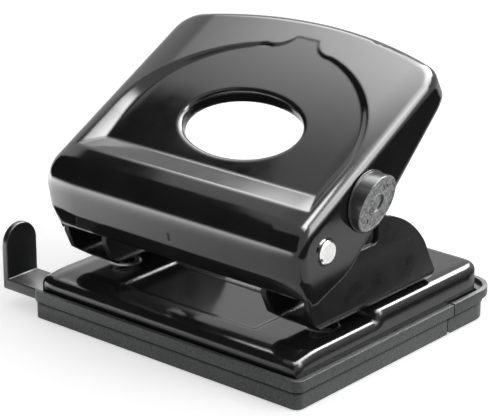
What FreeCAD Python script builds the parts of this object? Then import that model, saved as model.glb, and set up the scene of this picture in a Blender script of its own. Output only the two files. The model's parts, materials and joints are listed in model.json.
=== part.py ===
import FreeCAD, Part
import math
import os
import Sketcher
from FreeCAD import Rotation, Vector

# Two-hole office punch, sizes in millimetres and degrees.
# The origin is on the table, midway between the two punched holes.
# X runs along the punch to the right, Y to the rear, Z up.
# The lever is drawn in its pressed position about the axle and then opened.

DIMENSIONS = [
    ("hole_spacing", 80.0, "distance between the two punched holes"),
    ("hole_margin", 12.0, "hole centre to the paper stop"),
    ("punch_radius", 3.0, "radius of a punch pin"),
    ("running_gap", 0.06, "radial play of pins and shafts"),
    ("side_gap", 0.3, "play between neighbouring moving faces"),
    ("cover_gap", 0.1, "play between the lapped bands of tray and hatch"),
    ("small_chamfer", 0.5, "chamfer of turned ends"),
    ("tool_overrun", 1.0, "cutting forms past the faces they cut"),
    ("tray_half_length", 53.8, "half the length of the chip tray"),
    ("tray_front", 28.2, "tray front face ahead of the holes"),
    ("tray_rear", 67.8, "hatch rear face behind the holes"),
    ("tray_wall", 1.6, "plastic wall thickness"),
    ("tray_floor", 0.3, "underside of the tray above the table"),
    ("floor_thickness", 1.6, "plastic floor thickness"),
    ("band_height", 5.85, "underside of the upper band"),
    ("band_step", 0.5, "upper band proud of the lower band"),
    ("rim_height", 9.35, "top of the tray rim"),
    ("ledge_width", 1.2, "ledge that carries the base plate skirt"),
    ("skirt_lift", 0.35, "base plate skirt above the guide arm"),
    ("tray_front_corner", 3.0, "corner radius at the front"),
    ("hatch_corner", 8.0, "corner radius at the rear"),
    ("seam_lower", 44.8, "seam of the lower band behind the holes"),
    ("seam_upper", 47.4, "seam of the upper band behind the holes"),
    ("seam_gap", 0.4, "width of the seam"),
    ("lip_reach", 3.3, "finger lip behind the hatch"),
    ("lip_bottom", 6.8, "underside of the finger lip"),
    ("lip_floor", 1.2, "thickness of the lip underside"),
    ("lip_rise", 0.25, "lip above the tray rim"),
    ("lip_corner", 9.0, "corner radius of the finger lip"),
    ("hatch_floor_lap", 1.2, "hatch floor behind the lower seam"),
    ("hinge_behind_seam", 1.9, "hatch hinge behind the lower seam"),
    ("hinge_height", 1.9, "hatch hinge above the table"),
    ("hinge_pin_radius", 0.8, "radius of a hatch hinge pin"),
    ("knuckle_radius", 1.6, "radius of the rounded hinge knuckle"),
    ("hinge_lug_width", 1.9, "width of a tray hinge lug"),
    ("hinge_lug_reach", 4.0, "length of a hinge lug ahead of the lower seam"),
    ("hinge_bore_skin", 0.4, "plastic left outside a hinge pin"),
    ("foot_radius", 4.0, "radius of a rubber foot"),
    ("foot_depth", 0.9, "depth of the pocket of a foot"),
    ("foot_side", 44.0, "feet to each side of the middle"),
    ("foot_front", 21.5, "front feet ahead of the holes"),
    ("foot_rear", 38.0, "rear feet behind the holes"),
    ("plate_play", 0.5, "base plate skirt to tray wall"),
    ("plate_height", 14.5, "paper bed above the table"),
    ("plate_sheet", 1.5, "sheet thickness of the base plate"),
    ("step_height", 3.0, "paper stop above the paper bed"),
    ("plate_end", 2.4, "base plate short of the hatch rear face"),
    ("lead_radius", 40.0, "radius of the falling front of the bed"),
    ("lead_angle", 12.0, "steepest slope of the falling front"),
    ("plate_roll", 2.6, "rolled front edge radius"),
    ("plate_side_roll", 1.7, "rolled side edge radius"),
    ("plate_rear_corner", 7.0, "plan radius at the rear corners"),
    ("bed_recess", 0.5, "depth of the sunk middle of the bed"),
    ("bed_recess_half", 27.0, "half length of the sunk middle"),
    ("bed_recess_wall", 1.0, "width of the sloped wall of the sunk middle"),
    ("bed_recess_margin", 2.0, "sunk middle to the paper stop"),
    ("standoff_radius", 3.2, "radius of a base plate standoff"),
    ("standoff_side", 20.0, "standoffs to each side of the middle"),
    ("standoff_front", 4.0, "front standoffs ahead of the holes"),
    ("standoff_rear", 36.0, "rear standoffs behind the holes"),
    ("boss_height", 7.8, "top of the tray screw bosses"),
    ("boss_radius", 4.6, "radius of a tray screw boss"),
    ("screw_radius", 1.5, "radius of a screw shank"),
    ("screw_head_radius", 2.9, "radius of a screw head"),
    ("screw_head_height", 1.8, "height of a screw head"),
    ("counterbore_play", 0.3, "screw head to its counterbore"),
    ("screw_seat_lift", 0.6, "screw head above the tray underside"),
    ("screw_slot_half", 0.4, "half width of a screw slot"),
    ("screw_slot_depth", 0.9, "depth of a screw slot"),
    ("thread_end", 1.0, "sheet left above a standoff thread"),
    ("screw_short", 1.5, "screw end below the top of its standoff"),
    ("bracket_width", 18.1, "outer width of a punch bracket"),
    ("bracket_sheet", 2.0, "sheet thickness of a punch bracket"),
    ("bracket_bend", 4.0, "outer bend radius of a punch bracket"),
    ("web_front", 9.7, "front edge of the web ahead of the holes"),
    ("web_rear", 42.2, "rear edge of the web behind the holes"),
    ("cheek_front", 4.9, "front edge of the cheek ahead of the axle"),
    ("axle_ahead", 12.7, "axle ahead of the holes"),
    ("axle_height", 44.0, "axle above the table"),
    ("axle_radius", 3.55, "radius of the axle"),
    ("axle_proud", 1.2, "axle end proud of the lever flange"),
    ("axle_chamfer", 0.5, "chamfer of the axle ends"),
    ("axle_groove_depth", 0.7, "depth of a clip groove"),
    ("clip_thickness", 0.8, "thickness of an axle clip"),
    ("clip_reach", 2.6, "width of the axle clip ring"),
    ("clip_mouth", 2.35, "half width of a clip's mouth"),
    ("lobe_radius", 7.5, "bracket eye around the axle"),
    ("notch_half_width", 5.5, "half width of the lock notch"),
    ("notch_floor", 38.4, "floor of the lock notch"),
    ("notch_corner", 2.0, "corner radius of the lock notch"),
    ("nose_gap", 0.3, "lock dog to the nose above it"),
    ("nose_height", 2.3, "height of the nose over the notch"),
    ("nose_reach", 1.9, "overhang of the nose"),
    ("dome_radius", 33.0, "rounded rear of the cheek"),
    ("rivet_radius", 2.0, "radius of a bracket rivet"),
    ("rivet_head", 3.4, "radius of a rivet head"),
    ("rivet_head_height", 1.4, "height of a rivet head"),
    ("rivet_front", 22.0, "front rivets behind the holes"),
    ("rivet_rear", 34.0, "rear rivets behind the holes"),
    ("bush_radius", 4.2, "outer radius of a punch guide bush"),
    ("bush_fit", 0.03, "radial play of a bush in its bracket"),
    ("bush_flange_height", 2.0, "height of the bush flange"),
    ("die_spigot", 4.5, "radius of the die spigot in the bed"),
    ("die_flange", 6.5, "radius of the die flange"),
    ("die_height", 3.9, "height of a die"),
    ("die_relief", 0.6, "extra radius of the die's lower bore"),
    ("die_relief_height", 1.6, "height of the die's wide lower bore"),
    ("die_relief_cone", 0.4, "height of the cone above it"),
    ("punch_tip", 18.2, "tip of a resting punch above the table"),
    ("punch_head_radius", 4.5, "radius of a punch head"),
    ("punch_head_height", 3.0, "height of a punch head"),
    ("spring_wire", 1.2, "wire of a return spring"),
    ("spring_radius", 4.05, "mean radius of a return spring"),
    ("spring_turns", 7.0, "turns of a return spring"),
    ("spring_seat_gap", 0.02, "spring ends to their seats"),
    ("roller_radius", 3.0, "radius of a press roller"),
    ("arm_width", 13.2, "outer width of a press arm"),
    ("arm_sheet", 1.5, "sheet thickness of a press arm"),
    ("arm_eye", 6.0, "radius of the press arm eye"),
    ("arm_rear_gap", 0.6, "press arm behind its roller"),
    ("arm_front_gap", 0.3, "press arm behind the recess foot"),
    ("arm_over_head", 0.9, "press arm above the lowest point of its roller"),
    ("arm_eye_top", 0.6, "flat top of the press arm eye"),
    ("roller_stub", 2.0, "radius of a roller stub"),
    ("roller_play", 0.05, "roller to each side of its arm"),
    ("open_angle", 28.0, "lever travel"),
    ("lever_play", 0.29, "bracket to the lever flange"),
    ("lever_sheet", 1.5, "sheet thickness of the lever"),
    ("lever_top", 11.0, "top panel above the axle"),
    ("lever_front", 12.45, "front panel ahead of the axle"),
    ("lever_reach", 76.2, "rear edge behind the axle"),
    ("mark_foot", 0.9, "centre mark above the crease"),
    ("lever_bow", 145.0, "radius of the bowed rear edge"),
    ("lever_corner", 10.0, "plan radius of the rear corners"),
    ("lever_fold", 3.2, "fold radius of the lever edges"),
    ("lever_crease", 2.0, "crease of the front panel below the axle"),
    ("crease_radius", 4.0, "radius of that crease"),
    ("front_slope", 17.0, "lean of the front panel above the crease"),
    ("lever_roll", 9.5, "radius of the front roll"),
    ("front_panel_end", 9.0, "lower edge of the front panel below the axle"),
    ("flange_tip", 11.4, "front tip of the flange below the axle"),
    ("flange_depth", 13.3, "deepest point of the flange below the axle"),
    ("flange_low_point", 2.0, "that point behind the axle"),
    ("flange_bend", 24.0, "rounding from there to the rising edge"),
    ("flange_turn", 12.15, "start of the rising flange edge behind the axle"),
    ("flange_turn_depth", 11.7, "that point below the axle"),
    ("skirt_start", 62.1, "end of the rising flange edge behind the axle"),
    ("skirt_depth", 8.8, "depth of the skirt around the rear"),
    ("palm_half_width", 46.0, "half width of the palm recess"),
    ("palm_front", 3.8, "front of the palm recess behind the axle"),
    ("palm_side", 22.0, "end of the straight recess sides"),
    ("palm_rear", 41.5, "rounded rear of the palm recess"),
    ("palm_side_radius", 38.0, "radius of the rear corners of the palm recess"),
    ("palm_neck_half", 12.0, "half width where the recess narrows to its tip"),
    ("palm_neck_radius", 8.0, "radius of the hollow curve from there to the tip"),
    ("palm_tip", 67.3, "tip of the recess behind the axle"),
    ("palm_tip_half", 4.3, "half width of the tip"),
    ("palm_tip_share", 0.6, "how far the tip narrows as the recess deepens"),
    ("palm_depth", 3.3, "depth of the palm recess at its front"),
    ("palm_tilt", 3.3, "rise of the recess floor to the rear"),
    ("palm_wall", 4.7, "width of the recess wall at full depth"),
    ("palm_front_wall", 8.2, "width of the gentler front wall of the recess"),
    ("palm_brim", 3.0, "stock above and around the recess form"),
    ("palm_round", 1.2, "rounding where the recess leaves the top panel"),
    ("oval_half_length", 22.0, "half length of the oval hole"),
    ("oval_half_width", 13.0, "half width of the oval hole"),
    ("oval_place", 30.0, "oval hole behind the axle"),
    ("oval_collar", 2.9, "collar of the oval hole below the recess foot"),
    ("oval_round", 1.2, "rounded rim of the oval hole"),
    ("mark_width", 0.6, "width of the centre mark"),
    ("mark_depth", 0.35, "depth of the centre mark"),
    ("mark_height", 2.7, "height of the centre mark"),
    ("knob_place", 21.4, "lock knob behind the axle"),
    ("knob_radius", 9.0, "radius of the lock knob"),
    ("knob_height", 3.4, "height of the lock knob at its middle"),
    ("knob_slant", 16.0, "slant of the knob's grip face"),
    ("knob_slant_turn", 18.0, "turn of the slant's high side ahead of upright"),
    ("knob_flange", 0.45, "foot of the knob proud of its side"),
    ("knob_flange_height", 0.4, "height of that foot"),
    ("knob_seat", 1.5, "depth of the shaft seat in the knob"),
    ("knob_hub", 2.6, "radius of the cup in the middle of the knob"),
    ("knob_cup", 0.7, "depth of that cup"),
    ("knob_dome", 2.6, "radius of curvature of the domed middle"),
    ("knob_face_drop", 0.3, "depth of the sunk ring of the knob face"),
    ("knob_rim", 0.7, "width of the knob rim"),
    ("shaft_radius", 3.0, "radius of the lock shaft"),
    ("dog_reach", 5.2, "reach of the lock dog"),
    ("dog_half_height", 2.2, "half height of the lock dog"),
    ("dog_thickness", 1.8, "thickness of the lock dog"),
    ("dog_bore", 2.2, "bore of the lock dog"),
    ("dog_gap", 0.1, "lock dog to the bracket cheek"),
    ("guide_width", 13.3, "width of the paper guide arm"),
    ("guide_thickness", 3.5, "thickness of the paper guide arm"),
    ("guide_clear", 0.2, "room below and beside the guide arm"),
    ("rail_inset", 1.0, "guide rail inside the edge of the arm"),
    ("rail_thickness", 1.2, "thickness of a guide rail"),
    ("rail_overrun", 14.0, "rails past the inner end of the arm"),
    ("fence_thickness", 1.4, "thickness of the guide fence"),
    ("stop_inset", 3.0, "travel stop inside the edge of the arm"),
    ("lug_play", 0.3, "end lug beside the travel stop"),
    ("lug_clear", 0.5, "room above the stop and below the lug"),
    ("stop_play", 0.1, "lug short of the stop at full travel"),
    ("guide_base", 5.3, "underside of the paper guide arm"),
    ("guide_behind_wall", 0.3, "guide arm to the tray's front wall"),
    ("guide_stop_face", 66.3, "inner face of the guide stop left of the middle"),
    ("guide_stop_thickness", 2.2, "thickness of the guide stop"),
    ("guide_stop_top", 26.1, "top of the guide stop"),
    ("guide_tail", 36.0, "inner end of the guide arm right of the middle"),
    ("guide_lug", 4.0, "width of the lug that ends the travel"),
    ("guide_travel_out", 82.0, "travel of the guide outward"),
    ("keeper_side", 43.5, "keeper left of the middle"),
    ("keeper_width", 9.0, "width of the guide keeper"),
    ("keeper_thickness", 1.2, "thickness of the guide keeper"),
    ("keeper_boss_gap", 3.4, "keeper screw behind the guide fence"),
    ("keeper_boss_radius", 3.6, "radius of the keeper's screw boss"),
    ("keeper_lift", 0.25, "keeper above the guide arm"),
    ("keeper_plate_gap", 0.4, "keeper to the inside of the plate"),
    ("keeper_head_height", 1.1, "height of the keeper screw head"),
    ("keeper_thread_floor", 1.2, "keeper screw end above the floor"),
    ("cheek_toe_run", 5.1, "sloping toe of the bracket cheek, lengthwise"),
    ("cheek_toe_rise", 3.7, "sloping toe of the bracket cheek, upward"),
    ("cheek_front_low", 9.8, "lower end of the cheek's front edge above the plate"),
    ("cheek_front_high", 12.8, "upper end of the cheek's front edge below the axle"),
    ("cheek_saddle_run", 3.7, "slope from the axle lobe to the cheek's saddle"),
    ("cheek_saddle", 0.5, "saddle between lobe and notch above the axle"),
    ("cheek_nose_top", 1.3, "flat on the cheek behind the notch nose"),
    ("cheek_dome_run", 3.8, "start of the cheek's dome behind the notch"),
    ("cheek_dome_rise", 1.7, "start of the cheek's dome above the axle"),
    ("cheek_tail_run", 4.7, "end of the cheek's dome ahead of the web's rear"),
    ("cheek_tail_rise", 14.5, "end of the cheek's dome above the plate"),
    ("cheek_heel_run", 0.6, "cheek's heel behind the web's rear"),
    ("cheek_heel_rise", 4.0, "cheek's heel above the plate"),
    ("cheek_web_clear", 10.0, "top of the web's hole tools below the axle"),
    ("long_edge", 30.0, "least length of a bracket's long bent edge"),
]

doc = FreeCAD.newDocument("hole_punch")
sheet = doc.addObject("Spreadsheet::Sheet", "dims")
for row, (alias, value, note) in enumerate(DIMENSIONS, start=1):
    sheet.set(f"A{row}", note)
    sheet.set(f"B{row}", str(value))
    sheet.setAlias(f"B{row}", alias)
doc.recompute()

SUB_PARTS = []
X_AXIS = Vector(1, 0, 0)
Y_AXIS = Vector(0, 1, 0)
Z_AXIS = Vector(0, 0, 1)
SIDES = (("left", -1), ("right", 1))


def size(alias):
    """The number in the named cell."""
    return float(sheet.get(alias))


def named(text):
    """Turn short names such as [tray_wall] into references to the sheet."""
    return text.replace("[", "dims.").replace("]", "")


def value_of(owner, text):
    return float(owner.evalExpression(named(text)))


def bind(owner, prop, text):
    owner.setExpression(prop, named(text))


def keep(thing, label):
    """Register a finished sub-part under the name of its node."""
    thing.Label = label
    SUB_PARTS.append(thing)
    return thing


# Heights and places that several pieces share.

PLATE_HALF = "([tray_half_length] - [tray_wall] - [plate_play])"
PLATE_FRONT = "(-[tray_front] + [tray_wall] + [plate_play])"
PLATE_REAR = "([tray_rear] - [plate_end])"
PLATE_UNDER = "([plate_height] - [plate_sheet])"
RAISED = "([plate_height] + [step_height])"
SKIRT_BOTTOM = "([guide_base] + [guide_thickness] + [skirt_lift])"
LEDGE_TOP = SKIRT_BOTTOM
FLOOR_TOP = "([tray_floor] + [floor_thickness])"
WEB_TOP = "([plate_height] + [step_height] + [bracket_sheet])"
GUIDE_FRONT = "(-[tray_front] + [tray_wall] + [guide_behind_wall])"
GUIDE_REAR = "(-[tray_front] + [tray_wall] + [guide_behind_wall] + [guide_width])"
GUIDE_TOP = "([guide_base] + [guide_thickness])"
RAIL_TOP = "([guide_base] - [guide_clear])"
FENCE = "(-[tray_front] + [tray_wall] + [guide_behind_wall] + [guide_width] + [side_gap])"
KEEPER_Y = f"({FENCE} + [keeper_boss_gap])"
KEEPER_LOW = "([guide_base] + [guide_thickness] + [keeper_lift])"
SCREW_SEAT = "([tray_floor] + [screw_head_height] + [screw_seat_lift])"
DOG_INNER = "([hole_spacing] / 2 + [bracket_width] / 2 - [bracket_sheet] + [dog_gap])"
HINGE_Y = "([seam_lower] + [hinge_behind_seam])"
CHEEK_INNER = "([bracket_width] / 2 - [bracket_sheet])"
BUSH_FLANGE = f"({CHEEK_INNER} - [bracket_bend] + [bracket_sheet] - [bush_fit])"
LEVER_INNER = "([hole_spacing] / 2 + [bracket_width] / 2 + [lever_play])"
LEVER_HALF = f"({LEVER_INNER} + [lever_sheet])"
LEVER_UNDER = "([lever_top] - [lever_sheet])"
PALM_FOOT = "([palm_front] + [palm_front_wall])"
ROLLER_Y = "[axle_ahead]"
ROLLER_DROP = "([axle_ahead] * tan([open_angle] / 2 * 1 deg))"
HEAD_TOP = f"([axle_height] + {ROLLER_DROP} - [roller_radius] - [side_gap])"
CLIP_INNER = "([hole_spacing] / 2 - [bracket_width] / 2 - [clip_thickness] - [cover_gap])"
FAR = "200"


# Sketches and features.

def plane_of(body, role):
    return [item for item in body.Origin.OriginFeatures if item.Role == role][0]


def new_body(name):
    return doc.addObject("PartDesign::Body", name)


def new_sketch(body, role, offset="0"):
    """A sketch on one of the body's own planes, moved along its normal."""
    sketch = body.newObject("Sketcher::SketchObject", body.Name + "_sketch")
    sketch.AttachmentSupport = (plane_of(body, role), [""])
    sketch.MapMode = "FlatFace"
    bind(sketch, "AttachmentOffset.Base.z", offset)
    return sketch


def fix_point(sketch, geometry, corner, across, up):
    """Hold one point of a sketch at two measured distances from its origin."""
    for kind, text in (("DistanceX", across), ("DistanceY", up)):
        start = value_of(sketch, text)
        index = sketch.addConstraint(Sketcher.Constraint(kind, -1, 1, geometry, corner, start))
        bind(sketch, f"Constraints[{index}]", text)


def add_arc(sketch, start, end, radius_text, bulge):
    """An arc that bulges right (1) or left (-1) of the way; returns its index and ends."""
    radius = value_of(sketch, radius_text)
    chord = end - start
    right = Vector(chord.y, -chord.x, 0).normalize()
    offset = math.sqrt(radius * radius - chord.Length ** 2 / 4)
    centre = start + chord * 0.5 - right * (offset * bulge)
    first, last = (start, end) if bulge > 0 else (end, start)
    angles = [math.atan2(spot.y - centre.y, spot.x - centre.x) for spot in (first, last)]
    if angles[1] < angles[0]:
        angles[1] += 2 * math.pi
    index = sketch.addGeometry(Part.ArcOfCircle(Part.Circle(centre, Z_AXIS, radius), *angles),
                               False)
    limit = sketch.addConstraint(Sketcher.Constraint("Radius", index, radius))
    bind(sketch, f"Constraints[{limit}]", radius_text)
    return (index, 1, 2) if bulge > 0 else (index, 2, 1)


def outline(sketch, points, arcs=None):
    """A closed outline through the points; arcs maps a side to its radius and bulge."""
    arcs = arcs or {}
    spots = [Vector(value_of(sketch, a), value_of(sketch, b), 0) for a, b in points]
    ends = []
    for side, start in enumerate(spots):
        end = spots[(side + 1) % len(spots)]
        if side in arcs:
            ends.append(add_arc(sketch, start, end, *arcs[side]))
        else:
            ends.append((sketch.addGeometry(Part.LineSegment(start, end), False), 1, 2))
    for side, (index, _, last) in enumerate(ends):
        following, first, _ = ends[(side + 1) % len(ends)]
        sketch.addConstraint(Sketcher.Constraint("Coincident", index, last, following, first))
    for (index, first, _), (across, up) in zip(ends, points):
        fix_point(sketch, index, first, across, up)
    return sketch


def rectangle(sketch, left, right, low, high):
    return outline(sketch, [(left, low), (right, low), (right, high), (left, high)])


def circle(sketch, across, up, radius):
    middle = Vector(value_of(sketch, across), value_of(sketch, up), 0)
    index = sketch.addGeometry(Part.Circle(middle, Z_AXIS, value_of(sketch, radius)), False)
    fix_point(sketch, index, 3, across, up)
    limit = sketch.addConstraint(Sketcher.Constraint("Radius", index, value_of(sketch, radius)))
    bind(sketch, f"Constraints[{limit}]", radius)
    return sketch


def ellipse(sketch, across, up, half_length, half_width):
    middle = Vector(value_of(sketch, across), value_of(sketch, up), 0)
    major = value_of(sketch, half_length)
    minor = value_of(sketch, half_width)
    index = sketch.addGeometry(Part.Ellipse(middle, major, minor), False)
    first_axis = sketch.GeometryCount
    sketch.exposeInternalGeometry(index)
    fix_point(sketch, index, 3, across, up)
    sketch.addConstraint(Sketcher.Constraint("Horizontal", first_axis))
    for axis, half, start in ((first_axis, half_length, major), (first_axis + 1, half_width, minor)):
        limit = sketch.addConstraint(Sketcher.Constraint("Distance", axis, 2 * start))
        bind(sketch, f"Constraints[{limit}]", f"2 * ({half})")
    return sketch


def feature(body, kind, sketch, length, both_ways=False, reverse=False):
    item = body.newObject("PartDesign::" + kind, f"{body.Name}_{kind.lower()}")
    item.Profile = sketch
    bind(item, "Length", length)
    item.SideType = "Symmetric" if both_ways else "One side"
    item.Reversed = reverse
    body.Tip = item
    return item


def pad(body, sketch, length, both_ways=False, reverse=False):
    return feature(body, "Pad", sketch, length, both_ways, reverse)


def pocket(body, sketch, length, both_ways=False, reverse=False):
    return feature(body, "Pocket", sketch, length, both_ways, reverse)


def loft(body, kind, sketches):
    item = body.newObject("PartDesign::" + kind, f"{body.Name}_{kind.lower()}")
    item.Profile = sketches[0]
    item.Sections = sketches[1:]
    body.Tip = item
    return item


def turned(body, sketch):
    """Turn a sketch around its own horizontal axis."""
    item = body.newObject("PartDesign::Revolution", body.Name + "_turned")
    item.Profile = sketch
    item.ReferenceAxis = (sketch, ["H_Axis"])
    item.Angle = 360.0
    body.Tip = item
    return item


def fillet(body, radius, wanted, kind="Fillet"):
    """Round the edges of the body that the test picks out."""
    doc.recompute()
    base = body.Tip
    names = [f"Edge{n}" for n, edge in enumerate(base.Shape.Edges, start=1) if wanted(edge)]
    if not names:
        raise ValueError("no edges to round on " + body.Label)
    item = body.newObject("PartDesign::" + kind, f"{body.Name}_{kind.lower()}")
    item.Base = (base, names)
    bind(item, "Radius" if kind == "Fillet" else "Size", radius)
    body.Tip = item
    return item


def near(first, second, within=0.02):
    return abs(first - second) < within


def middle_of(edge):
    return edge.valueAt((edge.FirstParameter + edge.LastParameter) / 2)


def is_upright(edge):
    box = edge.BoundBox
    return box.ZLength > 0.5 and box.XLength < 0.01 and box.YLength < 0.01


def upright_at(edge, x_abs, y_place, within=0.05):
    box = edge.BoundBox
    return (is_upright(edge) and near(abs(box.Center.x), x_abs, within)
            and near(box.Center.y, y_place, within))


def place(thing, x="0", y="0", z="0", angle="0"):
    """Put a sub-part in place, turned about the X direction."""
    thing.Placement = FreeCAD.Placement(Vector(), Rotation(X_AXIS, 0))
    thing.Placement.Rotation.Axis = X_AXIS
    for axis, text in (("x", x), ("y", y), ("z", z)):
        bind(thing, "Placement.Base." + axis, text)
    if angle != "0":
        thing.Placement = FreeCAD.Placement(Vector(), Rotation(X_AXIS, value_of(thing, angle)))
        bind(thing, "Placement.Rotation.Angle", angle)


def cut(name, base, tool):
    item = doc.addObject("Part::Cut", name)
    item.Base = base
    item.Tool = tool
    return item


def fuse(name, pieces):
    item = doc.addObject("Part::MultiFuse", name)
    item.Shapes = pieces
    return item


def box(name, x_low, x_high, y_low, y_high, z_low, z_high):
    item = doc.addObject("Part::Box", name)
    bind(item, "Length", f"({x_high}) - ({x_low})")
    bind(item, "Width", f"({y_high}) - ({y_low})")
    bind(item, "Height", f"({z_high}) - ({z_low})")
    place(item, x_low, y_low, z_low)
    return item


def post(name, radius, x, y, z_low, z_high):
    """An upright cylinder."""
    item = doc.addObject("Part::Cylinder", name)
    bind(item, "Radius", radius)
    bind(item, "Height", f"({z_high}) - ({z_low})")
    place(item, x, y, z_low)
    return item


def group(name, pieces):
    """Several equal solids that share one node."""
    item = doc.addObject("Part::Compound", name)
    item.Links = pieces
    return keep(item, name)


# Chip tray and its rear hatch.

def band_body(name, y_low, y_high, z_low, z_high, inset, corner, at_rear):
    """A slab with two rounded corners, the outer or inner form of a tray band."""
    body = new_body(name)
    half = f"([tray_half_length] - ({inset}))"
    sketch = rectangle(new_sketch(body, "XY_Plane", z_low), "-" + half, half, y_low, y_high)
    pad(body, sketch, f"({z_high}) - ({z_low})")
    edge_y = value_of(body, y_high if at_rear else y_low)
    half_size = value_of(body, half)
    fillet(body, corner, lambda edge: upright_at(edge, half_size, edge_y))
    return body


def make_tray():
    front = "-[tray_front]"
    lower_end = "([seam_lower] - [seam_gap] / 2)"
    upper_end = "([seam_upper] - [seam_gap] / 2)"
    lower = band_body("tray_lower", front + " + [band_step]", lower_end, "[tray_floor]",
                      "[band_height]", "[band_step]", "[tray_front_corner] - [band_step]", False)
    upper = band_body("tray_upper", front, upper_end, "[band_height]", "[rim_height]",
                      "0", "[tray_front_corner]", False)
    inside = "([tray_half_length] - [tray_wall])"
    shelf = "([tray_half_length] - [tray_wall] - [ledge_width])"
    hollow = box("tray_hollow", "-" + shelf, shelf, front + " + [tray_wall]", FAR,
                 FLOOR_TOP, FAR)
    shoulder = box("tray_shoulder", "-" + inside, inside, front + " + [tray_wall]", FAR,
                   LEDGE_TOP, FAR)
    slot = box("tray_slot", "-" + FAR, "-" + shelf, GUIDE_FRONT + " - [guide_clear]",
               GUIDE_REAR + " + [side_gap]", RAIL_TOP, FAR)
    shell = cut("tray_shell", fuse("tray_bands", [lower, upper]),
                fuse("tray_inside", [hollow, shoulder, slot]))

    extras = []
    tail = "[guide_tail] + [rail_overrun]"
    for name, low in (("front", GUIDE_FRONT + " + [rail_inset]"),
                      ("rear", GUIDE_REAR + " - [rail_inset] - [rail_thickness]")):
        extras.append(box("tray_rail_" + name, "-" + shelf, tail, low,
                          low + " + [rail_thickness]", FLOOR_TOP, RAIL_TOP))
    extras.append(box("tray_fence", "-" + shelf, tail, FENCE, FENCE + " + [fence_thickness]",
                      FLOOR_TOP, GUIDE_TOP))
    stop_right = "-([guide_travel_out] - [guide_tail] + [guide_lug] + [stop_play])"
    extras.append(box("tray_guide_stop", "-" + shelf, stop_right,
                      GUIDE_FRONT + " + [stop_inset]", GUIDE_REAR + " - [stop_inset]",
                      FLOOR_TOP, "[guide_base] - [lug_clear]"))
    extras.append(post("tray_keeper_boss", "[keeper_boss_radius]", "-[keeper_side]", KEEPER_Y,
                       FLOOR_TOP, KEEPER_LOW))
    holes = [post("tray_keeper_hole", "[screw_radius]", "-[keeper_side]", KEEPER_Y,
                  FLOOR_TOP + " + [tool_overrun]", FAR)]
    for side, sign in SIDES:
        for end, y in (("front", "-[standoff_front]"), ("rear", "[standoff_rear]")):
            x = f"{sign} * [standoff_side]"
            tag = f"{side}_{end}"
            extras.append(post("tray_boss_" + tag, "[boss_radius]", x, y, "[tray_floor]",
                               "[boss_height]"))
            holes.append(post("tray_screw_hole_" + tag, "[screw_radius]", x, y, "0", FAR))
            holes.append(post("tray_counterbore_" + tag,
                              "[screw_head_radius] + [counterbore_play]", x, y,
                              "0", SCREW_SEAT))
        for end, y in (("front", "-[foot_front]"), ("rear", "[foot_rear]")):
            x = f"{sign} * [foot_side]"
            holes.append(post(f"tray_foot_pocket_{side}_{end}", "[foot_radius]", x, y, "0",
                              "[tray_floor] + [foot_depth]"))
        lug_out = "([tray_half_length] - [tray_wall] - [side_gap])"
        lug_in = lug_out + " - [hinge_lug_width]"
        ends = (lug_in, lug_out) if sign > 0 else ("-" + lug_out, f"-({lug_in})")
        extras.append(box("tray_hinge_lug_" + side, ends[0], ends[1],
                          "[seam_lower] - [hinge_lug_reach]",
                          HINGE_Y, "[tray_floor]", "[hinge_height] + [knuckle_radius]"))
        extras.append(cross_pin("tray_hinge_round_" + side, "[knuckle_radius]", ends[0], ends[1],
                                HINGE_Y, "[hinge_height]"))
        holes.append(cross_pin("tray_hinge_hole_" + side, "[hinge_pin_radius] + [running_gap]",
                               ends[0] + " - [tool_overrun]", ends[1] + " + [tool_overrun]",
                               HINGE_Y, "[hinge_height]"))
    solid = cut("tray_solid", fuse("tray_with_bosses", [shell] + extras),
                fuse("tray_holes", holes))
    keep(solid, "chip_tray")


def cross_pin(name, radius, x_low, x_high, y, z):
    """A cylinder along X."""
    item = doc.addObject("Part::Cylinder", name)
    bind(item, "Radius", radius)
    bind(item, "Height", f"({x_high}) - ({x_low})")
    item.Placement = FreeCAD.Placement(Vector(), Rotation(Y_AXIS, 90))
    bind(item, "Placement.Base.x", x_low)
    bind(item, "Placement.Base.y", y)
    bind(item, "Placement.Base.z", z)
    return item


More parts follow.
